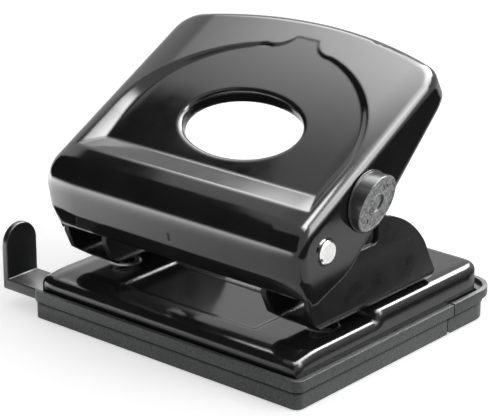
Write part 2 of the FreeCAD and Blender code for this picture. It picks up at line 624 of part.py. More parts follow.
def make_hatch():
    lower_start = "([seam_lower] + [seam_gap] / 2)"
    upper_start = "([seam_upper] + [seam_gap] / 2)"
    under_band = "([band_height] - [cover_gap])"
    lower = band_body("hatch_lower", lower_start, "[tray_rear]", "[tray_floor]", under_band,
                      "[band_step]", "[hatch_corner]", True)
    middle = band_body("hatch_middle", upper_start, "[tray_rear]", under_band,
                       "[rim_height]", "0", "[hatch_corner]", True)
    lip = band_body("hatch_lip", upper_start, "[tray_rear] + [lip_reach]", "[lip_bottom]",
                    "[rim_height] + [lip_rise]", "0", "[lip_corner]", True)
    low_room = band_body("hatch_low_room", "0", "[tray_rear] - [tray_wall]", FLOOR_TOP, FAR,
                         "[tray_wall]", "[hatch_corner] - [tray_wall]", True)
    lip_room = band_body("hatch_lip_room", "0", "[tray_rear] + [lip_reach] - [tray_wall]",
                         "[lip_bottom] + [lip_floor]", FAR, "[tray_wall]",
                         "[lip_corner] - [tray_wall]", True)
    floor_start = HINGE_Y + " + [knuckle_radius] + [side_gap]"
    lug_inner = "([tray_half_length] - [tray_wall] - 2 * [side_gap] - [hinge_lug_width])"
    tools = [low_room, lip_room]
    for side, sign in SIDES:
        ends = ((lug_inner, "([tray_half_length] - [tray_wall])") if sign > 0
                else ("-([tray_half_length] - [tray_wall])", "-" + lug_inner))
        tools.append(box("hatch_lug_room_" + side, ends[0], ends[1], "0", floor_start, "0", FAR))
    tools.append(box("hatch_floor_front", "-" + lug_inner, lug_inner, "0",
                     "[seam_lower] + [hatch_floor_lap]", "0", FLOOR_TOP))
    shell = cut("hatch_shell", fuse("hatch_bands", [lower, middle, lip]),
                fuse("hatch_rooms", tools))
    knuckles = []
    corners = []
    for side, sign in SIDES:
        wall_in = "([tray_half_length] - [tray_wall])"
        wall_out = "([tray_half_length] - [band_step])"
        ends = (wall_in, wall_out) if sign > 0 else ("-" + wall_out, "-" + wall_in)
        span = (ends[0] + " - [cover_gap]", ends[1] + " + [cover_gap]")
        corners.append(box("hatch_corner_low_" + side, *span, "0", HINGE_Y, "0",
                           "[hinge_height]"))
        swing = cross_pin("hatch_swing_" + side, "[band_height] - [cover_gap] - [hinge_height]",
                          *span, HINGE_Y, "[hinge_height]")
        block = box("hatch_corner_block_" + side, *span,
                    lower_start + " - [tool_overrun]", HINGE_Y,
                    "[hinge_height]", "[band_height]")
        corners.append(cut("hatch_corner_high_" + side, block, swing))
        knuckles.append(cross_pin("hatch_knuckle_" + side, "[knuckle_radius]", ends[0], ends[1],
                                  HINGE_Y, "[hinge_height]"))
    trimmed = cut("hatch_trimmed", shell, fuse("hatch_corners", corners))
    whole = fuse("hatch_whole", [trimmed] + knuckles)
    bores = []
    for side, sign in SIDES:
        ends = hatch_pin_ends(sign)
        bores.append(cross_pin("hatch_bore_" + side, "[hinge_pin_radius]", ends[0], ends[1],
                               HINGE_Y, "[hinge_height]"))
    keep(cut("hatch_solid", whole, fuse("hatch_bores", bores)), "rear_hatch")


def hatch_pin_ends(sign):
    inner = "([tray_half_length] - [tray_wall] - [side_gap] - [hinge_lug_width])"
    outer = "([tray_half_length] - [band_step] - [hinge_bore_skin])"
    return (inner, outer) if sign > 0 else ("-" + outer, "-" + inner)


def make_hatch_pins():
    pins = []
    for side, sign in SIDES:
        ends = hatch_pin_ends(sign)
        pins.append(cross_pin("hatch_pin_" + side, "[hinge_pin_radius]", ends[0], ends[1],
                              HINGE_Y, "[hinge_height]"))
    group("hatch_hinge_pins", pins)


def make_feet():
    feet = []
    for side, sign in SIDES:
        for end, y in (("front", "-[foot_front]"), ("rear", "[foot_rear]")):
            feet.append(post(f"foot_{side}_{end}", "[foot_radius]", f"{sign} * [foot_side]", y,
                             "0", "[tray_floor] + [foot_depth]"))
    group("rubber_feet", feet)


# Base plate, a deep pan pressed from one sheet.

LEAD_SIN = "sin([lead_angle] * 1 deg)"
LEAD_COS = "cos([lead_angle] * 1 deg)"
ROLL_HEIGHT = f"([plate_height] - [lead_radius] * (1 - {LEAD_COS}) - [plate_roll] * {LEAD_COS})"
LEAD_END = f"({PLATE_FRONT} + [plate_roll] + ([lead_radius] - [plate_roll]) * {LEAD_SIN})"


def plate_form(name, skin, bottom):
    """The outer form of the plate, or its inner form when skin is the sheet thickness."""
    body = new_body(name)
    half = f"({PLATE_HALF} - ({skin}))"
    front = f"({PLATE_FRONT} + ({skin}))"
    rear = f"({PLATE_REAR} - ({skin}))"
    roll = f"([plate_roll] - ({skin}))"
    lead = f"([lead_radius] - ({skin}))"
    foot = f"([step_height] / 3 + ({skin}))"
    brow = f"([step_height] * 2 / 3 - ({skin}))"
    side_view = [
        (front, bottom),
        (front, ROLL_HEIGHT),
        (f"{PLATE_FRONT} + [plate_roll] - {roll} * {LEAD_SIN}",
         f"{ROLL_HEIGHT} + {roll} * {LEAD_COS}"),
        (LEAD_END, f"[plate_height] - ({skin})"),
        ("[hole_margin] - [step_height] / 3", f"[plate_height] - ({skin})"),
        (f"[hole_margin] + ({skin})", "[plate_height] + [step_height] / 3"),
        ("[hole_margin] + [step_height] * 2 / 3", f"{RAISED} - ({skin})"),
        (rear, f"{RAISED} - ({skin})"),
        (rear, bottom),
    ]
    bends = {1: (roll, -1), 2: (lead, -1), 4: (foot, 1), 5: (brow, -1)}
    pad(body, outline(new_sketch(body, "YZ_Plane"), side_view, bends), f"2 * {half}",
        both_ways=True)
    half_size = value_of(body, half)
    rear_size = value_of(body, rear)
    fillet(body, f"[plate_rear_corner] - ({skin})",
           lambda edge: upright_at(edge, half_size, rear_size))
    return body


def make_plate():
    outer = plate_form("plate_outer", "0", SKIRT_BOTTOM)
    half = value_of(outer, PLATE_HALF)
    rear = value_of(outer, PLATE_REAR)
    raised = value_of(outer, RAISED)
    bottom = value_of(outer, SKIRT_BOTTOM)

    def is_rim(edge):
        middle = middle_of(edge)
        side = near(abs(middle.x), half) and middle.z > bottom + 0.1
        seam = is_upright(edge) and middle.y > 0
        back = near(middle.z, raised) and middle.y > rear - size("plate_rear_corner")
        return (side and not seam) or back

    fillet(outer, "[plate_side_roll]", is_rim)
    shell = cut("plate_shell", outer, plate_form("plate_inner", "[plate_sheet]", "0"))
    bump = box("plate_bump", "-[bed_recess_half] + [bed_recess_wall]",
               "[bed_recess_half] - [bed_recess_wall]", LEAD_END + " + [bed_recess_wall]",
               "[hole_margin] - [bed_recess_margin] - [bed_recess_wall]",
               f"{PLATE_UNDER} - [bed_recess]", PLATE_UNDER)
    dip = new_body("plate_dip")
    sections = []
    for shrink, height in (("0", "[plate_height]"),
                           ("[bed_recess_wall]", "[plate_height] - [bed_recess]")):
        sections.append(rectangle(new_sketch(dip, "XY_Plane", height),
                                  f"-[bed_recess_half] + {shrink}",
                                  f"[bed_recess_half] - {shrink}",
                                  f"{LEAD_END} + {shrink}",
                                  f"[hole_margin] - [bed_recess_margin] - {shrink}"))
    loft(dip, "AdditiveLoft", sections)
    tools = [dip]
    for side, sign in SIDES:
        x = f"{sign} * [hole_spacing] / 2"
        tools.append(post("plate_die_hole_" + side, "[die_spigot]", x, "0", "0", FAR))
        for end, y in (("front", "[rivet_front]"), ("rear", "[rivet_rear]")):
            tools.append(post(f"plate_rivet_hole_{side}_{end}", "[rivet_radius]", x, y, "0", FAR))
    keep(cut("plate_solid", fuse("plate_bumped", [shell, bump]), fuse("plate_tools", tools)),
         "base_plate")


def make_standoffs():
    pieces = []
    for side, sign in SIDES:
        x = f"{sign} * [standoff_side]"
        ends = (("front", "-[standoff_front]", f"{PLATE_UNDER} - [bed_recess]"),
                ("rear", "[standoff_rear]", f"{RAISED} - [plate_sheet]"))
        for end, y, top in ends:
            tag = f"{side}_{end}"
            shaft = post("standoff_post_" + tag, "[standoff_radius]", x, y, "[boss_height]", top)
            bore = post("standoff_bore_" + tag, "[screw_radius]", x, y,
                        "[boss_height] - [tool_overrun]", f"({top}) - [thread_end]")
            pieces.append(cut("standoff_" + tag, shaft, bore))
    group("plate_standoffs", pieces)


def make_tray_screws():
    pieces = []
    for side, sign in SIDES:
        x = f"{sign} * [standoff_side]"
        ends = (("front", "-[standoff_front]", f"{PLATE_UNDER} - [bed_recess]"),
                ("rear", "[standoff_rear]", f"{RAISED} - [plate_sheet]"))
        for end, y, top in ends:
            tag = f"{side}_{end}"
            head = post("screw_head_" + tag, "[screw_head_radius]", x, y,
                        SCREW_SEAT + " - [screw_head_height]", SCREW_SEAT)
            shank = post("screw_shank_" + tag, "[screw_radius]", x, y, SCREW_SEAT,
                         f"({top}) - [screw_short]")
            slot = box("screw_slot_" + tag, f"{x} - [screw_head_radius]",
                       f"{x} + [screw_head_radius]", f"{y} - [screw_slot_half]",
                       f"{y} + [screw_slot_half]", "0",
                       SCREW_SEAT + " - [screw_head_height] + [screw_slot_depth]")
            pieces.append(cut("tray_screw_" + tag, fuse("screw_whole_" + tag, [head, shank]),
                              slot))
    group("tray_screws", pieces)


# Punch brackets and what stands in them.

CHEEK_POINTS = [
    ("-[web_front]", RAISED),
    ("-[web_front] - [cheek_toe_run]", f"{RAISED} + [cheek_toe_rise]"),
    ("-[axle_ahead] - [cheek_front]", f"{RAISED} + [cheek_front_low]"),
    ("-[axle_ahead] - [cheek_front]", "[axle_height] - [cheek_front_high]"),
    ("-[axle_ahead] - [lobe_radius] * cos(12 deg)", "[axle_height] - [lobe_radius] * sin(12 deg)"),
    ("-[axle_ahead] + [lobe_radius] * cos(30 deg)", "[axle_height] + [lobe_radius] * sin(30 deg)"),
    ("-[axle_ahead] + [lobe_radius] * cos(30 deg) + [cheek_saddle_run]",
     "[axle_height] + [cheek_saddle]"),
    ("-[axle_ahead] + [knob_place] - [notch_half_width]", "[axle_height] + [cheek_saddle]"),
    ("-[axle_ahead] + [knob_place] - [notch_half_width]", "[notch_floor]"),
    ("-[axle_ahead] + [knob_place] + [notch_half_width]", "[notch_floor]"),
    ("-[axle_ahead] + [knob_place] + [notch_half_width]",
     "[axle_height] + [dog_half_height] + [nose_gap]"),
    ("-[axle_ahead] + [knob_place] + [notch_half_width] - [nose_reach]",
     "[axle_height] + [dog_half_height] + [nose_gap]"),
    ("-[axle_ahead] + [knob_place] + [notch_half_width] - [nose_reach]",
     "[axle_height] + [dog_half_height] + [nose_gap] + [nose_height]"),
    ("-[axle_ahead] + [knob_place] + [notch_half_width] + [cheek_nose_top]",
     "[axle_height] + [dog_half_height] + [nose_gap] + [nose_height]"),
    ("-[axle_ahead] + [knob_place] + [notch_half_width] + [cheek_dome_run]",
     "[axle_height] + [cheek_dome_rise]"),
    ("[web_rear] - [cheek_tail_run]", f"{RAISED} + [cheek_tail_rise]"),
    ("[web_rear] + [cheek_heel_run]", f"{RAISED} + [cheek_heel_rise]"),
    ("[web_rear]", RAISED),
]


def make_bracket(side, sign):
    body = new_body("bracket_body_" + side)
    profile = outline(new_sketch(body, "YZ_Plane"), CHEEK_POINTS,
                      {4: ("[lobe_radius]", -1), 14: ("[dome_radius]", -1)})
    pad(body, profile, "[bracket_width]", both_ways=True)
    half = size("bracket_width") / 2
    low = value_of(body, RAISED)
    notch_low = size("notch_floor")
    fillet(body, "[bracket_bend]", lambda edge: edge.BoundBox.YLength > size("long_edge")
           and near(edge.BoundBox.ZMax, low) and near(abs(edge.BoundBox.Center.x), half))
    fillet(body, "[notch_corner]", lambda edge: edge.BoundBox.XLength > half
           and near(edge.BoundBox.Center.z, notch_low) and edge.BoundBox.YLength < 0.01)
    channel = rectangle(new_sketch(body, "XY_Plane", WEB_TOP), "-" + CHEEK_INNER, CHEEK_INNER,
                        "-" + FAR, FAR)
    pocket(body, channel, FAR, reverse=True)
    inner = half - size("bracket_sheet")
    web_top = value_of(body, WEB_TOP)
    fillet(body, "[bracket_bend] - [bracket_sheet]", lambda edge: edge.BoundBox.YLength > size("long_edge")
           and near(edge.BoundBox.ZMax, web_top) and near(abs(edge.BoundBox.Center.x), inner))
    bore = circle(new_sketch(body, "YZ_Plane"), "-[axle_ahead]", "[axle_height]", "[axle_radius]")
    pocket(body, bore, FAR, both_ways=True)
    for y, radius in (("0", "[bush_radius] + [bush_fit]"), ("[rivet_front]", "[rivet_radius]"),
                      ("[rivet_rear]", "[rivet_radius]")):
        hole = circle(new_sketch(body, "XY_Plane"), "0", y, radius)
        pocket(body, hole, "[axle_height] - [cheek_web_clear]", reverse=True)
    place(body, f"{sign} * [hole_spacing] / 2")
    keep(body, "punch_bracket_" + side)


def make_rivets():
    pieces = []
    for side, sign in SIDES:
        x = f"{sign} * [hole_spacing] / 2"
        for end, y in (("front", "[rivet_front]"), ("rear", "[rivet_rear]")):
            tag = f"{side}_{end}"
            under = f"{RAISED} - [plate_sheet]"
            parts = [
                post("rivet_shank_" + tag, "[rivet_radius]", x, y, under, WEB_TOP),
                post("rivet_upper_" + tag, "[rivet_head]", x, y, WEB_TOP,
                     WEB_TOP + " + [rivet_head_height]"),
                post("rivet_lower_" + tag, "[rivet_head]", x, y,
                     f"{under} - [rivet_head_height]", under),
            ]
            pieces.append(fuse("rivet_" + tag, parts))
    group("bracket_rivets", pieces)


def make_turned_part(name, profile, x, y="0"):
    """A piece turned about an upright axis; the profile is (radius, height) pairs."""
    body = new_body(name)
    sketch = outline(new_sketch(body, "XZ_Plane"), profile)
    item = body.newObject("PartDesign::Revolution", name + "_turned")
    item.Profile = sketch
    item.ReferenceAxis = (sketch, ["V_Axis"])
    item.Angle = 360.0
    body.Tip = item
    place(body, x, y)
    return body


def make_bush(side, sign):
    bore = "[punch_radius] + [running_gap]"
    profile = [
        (bore, RAISED),
        ("[bush_radius]", RAISED),
        ("[bush_radius]", WEB_TOP),
        (BUSH_FLANGE, WEB_TOP),
        (BUSH_FLANGE, WEB_TOP + " + [bush_flange_height] - [small_chamfer]"),
        (f"{BUSH_FLANGE} - [small_chamfer]", WEB_TOP + " + [bush_flange_height]"),
        (bore, WEB_TOP + " + [bush_flange_height]"),
    ]
    keep(make_turned_part("bush_body_" + side, profile, f"{sign} * [hole_spacing] / 2"),
         "punch_guide_bush_" + side)


def make_die(side, sign):
    bore = "[punch_radius] + [running_gap]"
    wide = "[punch_radius] + [die_relief]"
    bottom = "[plate_height] - [die_height]"
    profile = [
        (bore, "[plate_height]"),
        ("[die_spigot]", "[plate_height]"),
        ("[die_spigot]", PLATE_UNDER),
        ("[die_flange]", PLATE_UNDER),
        ("[die_flange]", bottom),
        (wide, bottom),
        (wide, f"{bottom} + [die_relief_height]"),
        (bore, f"{bottom} + [die_relief_height] + [die_relief_cone]"),
    ]
    keep(make_turned_part("die_body_" + side, profile, f"{sign} * [hole_spacing] / 2"),
         "punch_die_" + side)


def make_punch(side, sign):
    head_low = HEAD_TOP + " - [punch_head_height]"
    profile = [
        ("0", "[punch_tip] + [small_chamfer]"),
        ("[punch_radius]", "[punch_tip]"),
        ("[punch_radius]", head_low),
        ("[punch_head_radius]", head_low),
        ("[punch_head_radius]", HEAD_TOP + " - [small_chamfer]"),
        ("[punch_head_radius] - [small_chamfer]", HEAD_TOP),
        ("0", HEAD_TOP),
    ]
    keep(make_turned_part("punch_body_" + side, profile, f"{sign} * [hole_spacing] / 2"),
         "punch_pin_" + side)


def helix_point(radius, low, rise, turns, share):
    angle = 2 * math.pi * turns * share
    return Vector(radius * math.cos(angle), radius * math.sin(angle), low + rise * share)


def helix_gap(radius, low, rise, turns, wire):
    """Least clearance of a helix to its own next turn, measured on points."""
    steps = int(turns * 36)
    points = [helix_point(radius, low, rise, turns, n / steps) for n in range(steps + 1)]
    spacing = [first.distanceToPoint(second) - wire
               for n, first in enumerate(points) for second in points[n + 18:]]
    return min(spacing)


def make_spring(side, sign):
    """A coil of one unbroken wire between the bush flange and the punch head."""
    wire = size("spring_wire")
    radius = size("spring_radius")
    turns = size("spring_turns")
    low = value_of(sheet, WEB_TOP) + size("bush_flange_height") + wire / 2
    high = value_of(sheet, HEAD_TOP) - size("punch_head_height") - wire / 2
    rise = high - low - 2 * size("spring_seat_gap")
    low += size("spring_seat_gap")
    arcs_per_turn = 4
    count = int(turns * arcs_per_turn)
    edges = []
    for n in range(count):
        spots = [helix_point(radius, low, rise, turns, (n + part) / count)
                 for part in (0, 0.5, 1)]
        edges.append(Part.Arc(*spots).toShape())
    path = Part.Wire(edges)
    start = helix_point(radius, low, rise, turns, 0)
    heading = edges[0].tangentAt(edges[0].FirstParameter)
    section = Part.Wire([Part.Circle(start, heading, wire / 2).toShape()])
    coil = path.makePipeShell([section], True, False)
    item = doc.addObject("Part::Feature", "spring_" + side)
    item.Shape = coil
    item.Placement = FreeCAD.Placement(Vector(sign * size("hole_spacing") / 2, 0, 0),
                                       Rotation(X_AXIS, 0))
    print("spring", side, "least gap", round(helix_gap(radius, low, rise, turns, wire), 3))
    keep(item, "return_spring_" + side)


# Axle and its clips.

def make_axle():
    body = new_body("axle_body")
    half = f"({LEVER_HALF} + [axle_proud])"
    clip_in = CLIP_INNER
    clip_out = f"({CLIP_INNER} + [clip_thickness])"
    groove = "([axle_radius] - [axle_groove_depth])"
    right = [
        (half, "0"),
        (half, "[axle_radius] - [axle_chamfer]"),
        (f"{half} - [axle_chamfer]", "[axle_radius]"),
        (clip_out, "[axle_radius]"),
        (clip_out, groove),
        (clip_in, groove),
        (clip_in, "[axle_radius]"),
    ]
    left = [(f"-({across})", up) for across, up in reversed(right)]
    turned(body, outline(new_sketch(body, "XZ_Plane"), right + left))
    place(body, "0", "-[axle_ahead]", "[axle_height]")
    keep(body, "axle")


def make_axle_clips():
    clips = []
    for side, sign in SIDES:
        far_x = f"({CLIP_INNER} + [clip_thickness])"
        ends = (CLIP_INNER, far_x) if sign > 0 else ("-" + far_x, "-" + CLIP_INNER)
        disc = cross_pin("clip_disc_" + side, "[axle_radius] + [clip_reach]", ends[0], ends[1],
                         "-[axle_ahead]", "[axle_height]")
        bore = cross_pin("clip_bore_" + side, "[axle_radius] - [axle_groove_depth]",
                         ends[0] + " - [tool_overrun]",
                         ends[1] + " + [tool_overrun]", "-[axle_ahead]", "[axle_height]")
        mouth = box("clip_mouth_" + side, ends[0] + " - [tool_overrun]",
                    ends[1] + " + [tool_overrun]", "-[axle_ahead] - [clip_mouth]",
                    "-[axle_ahead] + [clip_mouth]",
                    "[axle_height] - [axle_radius] - [clip_reach] - [tool_overrun]",
                    "[axle_height]")
        clips.append(cut("clip_" + side, disc, fuse("clip_tools_" + side, [bore, mouth])))
    group("axle_clips", clips)


# Lever, drawn about the axle in its pressed position: X across, Y to the rear, Z up.

def open_lever(thing, x="0"):
    """Turn a piece of the lever from its pressed to its open position."""
    place(thing, x, "-[axle_ahead]", "[axle_height]", "[open_angle]")


SLOPE_SIN = "sin([front_slope] * 1 deg)"
SLOPE_COS = "cos([front_slope] * 1 deg)"
CREASE_TURN = "([crease_radius] * tan([front_slope] / 2 * 1 deg))"
ROLL_PLACE = (f"(([lever_roll] + ([lever_top] - [lever_roll] + [lever_crease]) * {SLOPE_SIN})"
              f" / {SLOPE_COS} - [lever_front])")


def lever_side_view(skin, drop):
    """The lever from the side; the inner form has a skin and drops past the lower edge."""
    rear = "([lever_reach] + 2 * [tool_overrun])"
    crease = f"([crease_radius] - ({skin}))"
    roll = f"([lever_roll] - ({skin}))"
    points = [
        (f"-[lever_front] + ({skin})", f"-[flange_tip] - {drop}"),
        (f"-[lever_front] + ({skin})", f"-[lever_crease] - {CREASE_TURN}"),
        (f"-[lever_front] + [crease_radius] - {crease} * {SLOPE_COS}",
         f"-[lever_crease] - {CREASE_TURN} + {crease} * {SLOPE_SIN}"),
        (f"{ROLL_PLACE} - {roll} * {SLOPE_COS}",
         f"[lever_top] - [lever_roll] + {roll} * {SLOPE_SIN}"),
        (ROLL_PLACE, f"[lever_top] - ({skin})"),
        (rear, f"[lever_top] - ({skin})"),
        (rear, f"[lever_top] - [skirt_depth] - {drop}"),
        ("[skirt_start]", f"[lever_top] - [skirt_depth] - {drop}"),
        ("[flange_turn]", f"-[flange_turn_depth] - {drop}"),
        ("[flange_low_point]", f"-[flange_depth] - {drop}"),
    ]
    return points, {1: (crease, -1), 3: (roll, -1), 8: ("[flange_bend]", -1)}


def lever_form(name, skin, drop, fold, corner):
    body = new_body(name)
    half = f"({LEVER_HALF} - ({skin}))"
    reach = f"([lever_reach] - ({skin}))"
    bow = f"([lever_bow] - ({skin}))"
    corner_y = f"({reach} - {bow} + sqrt({bow} * {bow} - {half} * {half}))"
    plan = outline(new_sketch(body, "XY_Plane", "-[flange_depth] - 4 * [tool_overrun]"),
                   [("-" + half, "-[lever_front] - [tool_overrun]"),
                    (half, "-[lever_front] - [tool_overrun]"),
                    (half, corner_y), ("-" + half, corner_y)], {2: (bow, 1)})
    pad(body, plan, "[flange_depth] + [lever_top] + 6 * [tool_overrun]")
    half_size = value_of(body, half)
    corner_place = value_of(body, corner_y)
    fillet(body, corner, lambda edge: upright_at(edge, half_size, corner_place))
    frame = new_sketch(body, "YZ_Plane")
    rectangle(frame, "-" + FAR, FAR, "-" + FAR, FAR)
    outline(frame, *lever_side_view(skin, drop))
    pocket(body, frame, FAR, both_ways=True)
    top = value_of(body, f"[lever_top] - ({skin})")
    roll_end = value_of(body, ROLL_PLACE)

    def is_fold(edge):
        middle = middle_of(edge)
        upper = near(middle.z, top) or (middle.y < roll_end and middle.z > -size("flange_tip"))
        behind = near(middle.z, top) and middle.y > corner_place - size("lever_corner")
        return (near(abs(middle.x), half_size) and upper) or behind

    fillet(body, fold, is_fold)
    return body


def palm_floor(top, u):
    """Height of the recess floor, which rises to the rear from its foot."""
    return f"({top} - [palm_depth] + (({u}) - {PALM_FOOT}) * tan([palm_tilt] * 1 deg))"


def palm_sketch(body, height, shrink, front_shrink):
    """The palm recess seen from above: straight front and sides, rear rounded to a tip."""
    half = f"([palm_half_width] - ({shrink}))"
    deep = f"([palm_rear] - ({shrink}))"
    low = f"([palm_front] + ({front_shrink}))"
    side = f"([palm_side_radius] - ({shrink}))"
    centre = "([palm_half_width] - [palm_side_radius])"
    rear = (f"(({centre} * {centre} + [palm_rear] * [palm_rear] - [palm_side_radius]"
            f" * [palm_side_radius]) / (2 * ([palm_rear] - [palm_side_radius])) - ({shrink}))")
    share = f"({rear} / ({rear} - {side}))"
    meet_x = f"({centre} * {share})"
    meet_y = f"([palm_side] + {deep} - {rear} + ({rear} - {deep}) * {share})"
    neck = "[palm_neck_half]"
    neck_y = f"([palm_side] + {deep} - {rear} + sqrt({rear} * {rear} - {neck} * {neck}))"
    neck_bend = f"([palm_neck_radius] + ({shrink}))"
    tip = f"([palm_tip_half] - ({shrink}) * [palm_tip_share])"
    tip_y = f"([palm_tip] - ({shrink}))"
    points = [("-" + half, low), (half, low), (half, "[palm_side]"), (meet_x, meet_y),
              (neck, neck_y), (tip, tip_y), ("-" + tip, tip_y), ("-" + neck, neck_y),
              ("-" + meet_x, meet_y), ("-" + half, "[palm_side]")]
    bends = {2: (side, 1), 3: (rear, 1), 4: (neck_bend, -1), 6: (neck_bend, -1),
             7: (rear, 1), 8: (side, 1)}
    return outline(new_sketch(body, "XY_Plane", height), points, bends)


def palm_dish(name, top):
    """The recess as a solid: sloped walls down to a floor that rises to the rear."""
    body = new_body(name)
    loft(body, "AdditiveLoft", [
        palm_sketch(body, top, "0", "0"),
        palm_sketch(body, f"{top} - [palm_depth]", "[palm_wall]", "[palm_front_wall]")])
    below = f"({top} - 2 * [palm_depth])"
    wedge = [(PALM_FOOT, below), (FAR, below), (FAR, palm_floor(top, FAR)),
             (PALM_FOOT, palm_floor(top, PALM_FOOT))]
    pocket(body, outline(new_sketch(body, "YZ_Plane"), wedge), FAR, both_ways=True)
    return body


def oval_block(body, grow, low, high):
    sketch = ellipse(new_sketch(body, "XY_Plane", low), "0", "[oval_place]",
                     f"[oval_half_length] + ({grow})", f"[oval_half_width] + ({grow})")
    pad(body, sketch, f"({high}) - ({low})")
    return body


def palm_tool():
    """Everything that the recess and its oval hole take away, with rounded rims."""
    body = palm_dish("palm_upper", "[lever_top]")
    half = "([palm_half_width] + [palm_brim])"
    rear = "([palm_tip] + [palm_brim])"
    brim = rectangle(new_sketch(body, "XY_Plane", "[lever_top]"), "-" + half, half,
                     "[palm_front] - [palm_brim]", rear)
    pad(body, brim, "[palm_brim]")
    oval_block(body, "0", "-[lever_top]", "[lever_top] - [palm_depth] / 4")
    top = size("lever_top")
    brim_half = value_of(body, half)
    brim_rear = value_of(body, rear)
    brim_front = size("palm_front") - size("palm_brim")
    neck_start = size("palm_side") + size("palm_rear") - size("palm_round")

    def is_rim(edge):
        middle = middle_of(edge)
        outer = (near(abs(middle.x), brim_half) or near(middle.y, brim_rear)
                 or near(middle.y, brim_front))
        level = near(edge.BoundBox.ZMin, top) and near(edge.BoundBox.ZMax, top)
        return level and not outer and middle.y < neck_start

    def is_hole_rim(edge):
        extent = edge.BoundBox
        return near(extent.XLength, 2 * size("oval_half_length"), 0.1) and extent.ZMin > 0

    fillet(body, "[oval_round]", is_hole_rim)
    fillet(body, "[palm_round]", is_rim)
    return body


def make_lever():
    outer = lever_form("lever_outer", "0", "0", "[lever_fold]", "[lever_corner]")
    inner = lever_form("lever_inner", "[lever_sheet]", "2", "[lever_fold] - [lever_sheet]",
                       "[lever_corner] - [lever_sheet]")
    reach = "3 * [tool_overrun]"
    gap = box("lever_front_gap", "-" + LEVER_INNER, LEVER_INNER, f"-[lever_front] - {reach}",
              f"-[lever_front] + [lever_sheet] + {reach}", f"-[flange_depth] - {reach}",
              "-[front_panel_end]")
    shell = cut("lever_shell", outer, fuse("lever_inside", [inner, gap]))
    collar = oval_block(new_body("oval_collar_body"), "[lever_sheet]",
                        "[lever_top] - [palm_depth] - [oval_collar]",
                        "[lever_top] - [palm_depth] / 4")
    bumped = fuse("lever_bumped", [shell, palm_dish("palm_under", LEVER_UNDER), collar])
    axle_hole = cross_pin("lever_axle_hole", "[axle_radius] + [running_gap]", "-" + FAR, FAR,
                          "0", "0")
    knob_hole = cross_pin("lever_knob_hole", "[shaft_radius] + [running_gap]", "0", FAR,
                          "[knob_place]", "0")
    mark = new_body("centre_mark")
    crease = "-[lever_crease]"
    lean = "tan([front_slope] * 1 deg)"
    low = f"({lean} * [mark_foot] - [lever_front])"
    high = f"({lean} * ([mark_foot] + [mark_height]) - [lever_front])"
    points = [
        (f"{low} - [tool_overrun]", f"{crease} + [mark_foot]"),
        (f"{low} + [mark_depth]", f"{crease} + [mark_foot]"),
        (f"{high} + [mark_depth]", f"{crease} + [mark_foot] + [mark_height]"),
        (f"{high} - [tool_overrun]", f"{crease} + [mark_foot] + [mark_height]"),
    ]
    pad(mark, outline(new_sketch(mark, "YZ_Plane"), points), "[mark_width]", both_ways=True)
    tools = fuse("lever_tools", [palm_tool(), axle_hole, knob_hole, mark])
    solid = cut("lever_solid", bumped, tools)
    open_lever(solid)
    keep(solid, "handle_lever")


def make_press_arm(side, sign):
    """A folded arm welded under the palm recess; its roller rests on the punch head."""
    body = new_body("press_arm_body_" + side)
    drop = ROLLER_DROP
    rear = f"({ROLLER_Y} + [roller_radius] + [arm_rear_gap])"
    front = f"({PALM_FOOT} + [arm_front_gap])"
    points = [
        ("-[arm_eye] * sin(40 deg)", "-[arm_eye] * cos(40 deg)"),
        ("0", "-[arm_eye]"),
        (ROLLER_Y, f"-{drop} - [roller_radius] + [arm_over_head]"),
        (rear, f"-{drop}"),
        (rear, palm_floor(LEVER_UNDER, rear)),
        (front, palm_floor(LEVER_UNDER, front)),
        (f"{front} - [arm_sheet]", f"{palm_floor(LEVER_UNDER, front)} - [arm_sheet]"),
        ("[arm_eye] / 6", "[arm_eye] - [arm_eye_top]"),
        ("-[arm_eye] * cos(20 deg)", "[arm_eye] * sin(20 deg)"),
    ]
    pad(body, outline(new_sketch(body, "YZ_Plane"), points), "[arm_width]", both_ways=True)
    inside = "([arm_width] / 2 - [arm_sheet])"
    clear = [("-" + FAR, "-" + FAR), (FAR, "-" + FAR),
             (FAR, f"{palm_floor(LEVER_UNDER, FAR)} - [arm_sheet]"),
             ("-" + FAR, f"{palm_floor(LEVER_UNDER, '-' + FAR)} - [arm_sheet]")]
    pocket(body, outline(new_sketch(body, "YZ_Plane"), clear), f"2 * {inside}", both_ways=True)
    bore = circle(new_sketch(body, "YZ_Plane"), "0", "0", "[axle_radius] + [running_gap]")
    pocket(body, bore, FAR, both_ways=True)
    seat = circle(new_sketch(body, "YZ_Plane"), ROLLER_Y, f"-{drop}", "[roller_stub]")
    pocket(body, seat, FAR, both_ways=True)
    open_lever(body, f"{sign} * [hole_spacing] / 2")
    keep(body, "press_arm_" + side)


def make_rollers():
    pieces = []
    inside = "([arm_width] / 2 - [arm_sheet] - [roller_play])"
    for side, sign in SIDES:
        drum = cross_pin("roller_drum_" + side, "[roller_radius]", "-" + inside, inside,
                         ROLLER_Y, "-" + ROLLER_DROP)
        stub = cross_pin("roller_stub_" + side, "[roller_stub]", "-[arm_width] / 2",
                         "[arm_width] / 2", ROLLER_Y, "-" + ROLLER_DROP)
        roller = fuse("roller_" + side, [drum, stub])
        open_lever(roller, f"{sign} * [hole_spacing] / 2")
        pieces.append(roller)
    group("press_rollers", pieces)


# Lock knob with its shaft and dog, drawn about the knob's own axis.

def place_knob(thing):
    reach = "[knob_place]"
    bind(thing, "Placement.Base.y", f"-[axle_ahead] + {reach} * cos([open_angle] * 1 deg)")
    bind(thing, "Placement.Base.z", f"[axle_height] + {reach} * sin([open_angle] * 1 deg)")


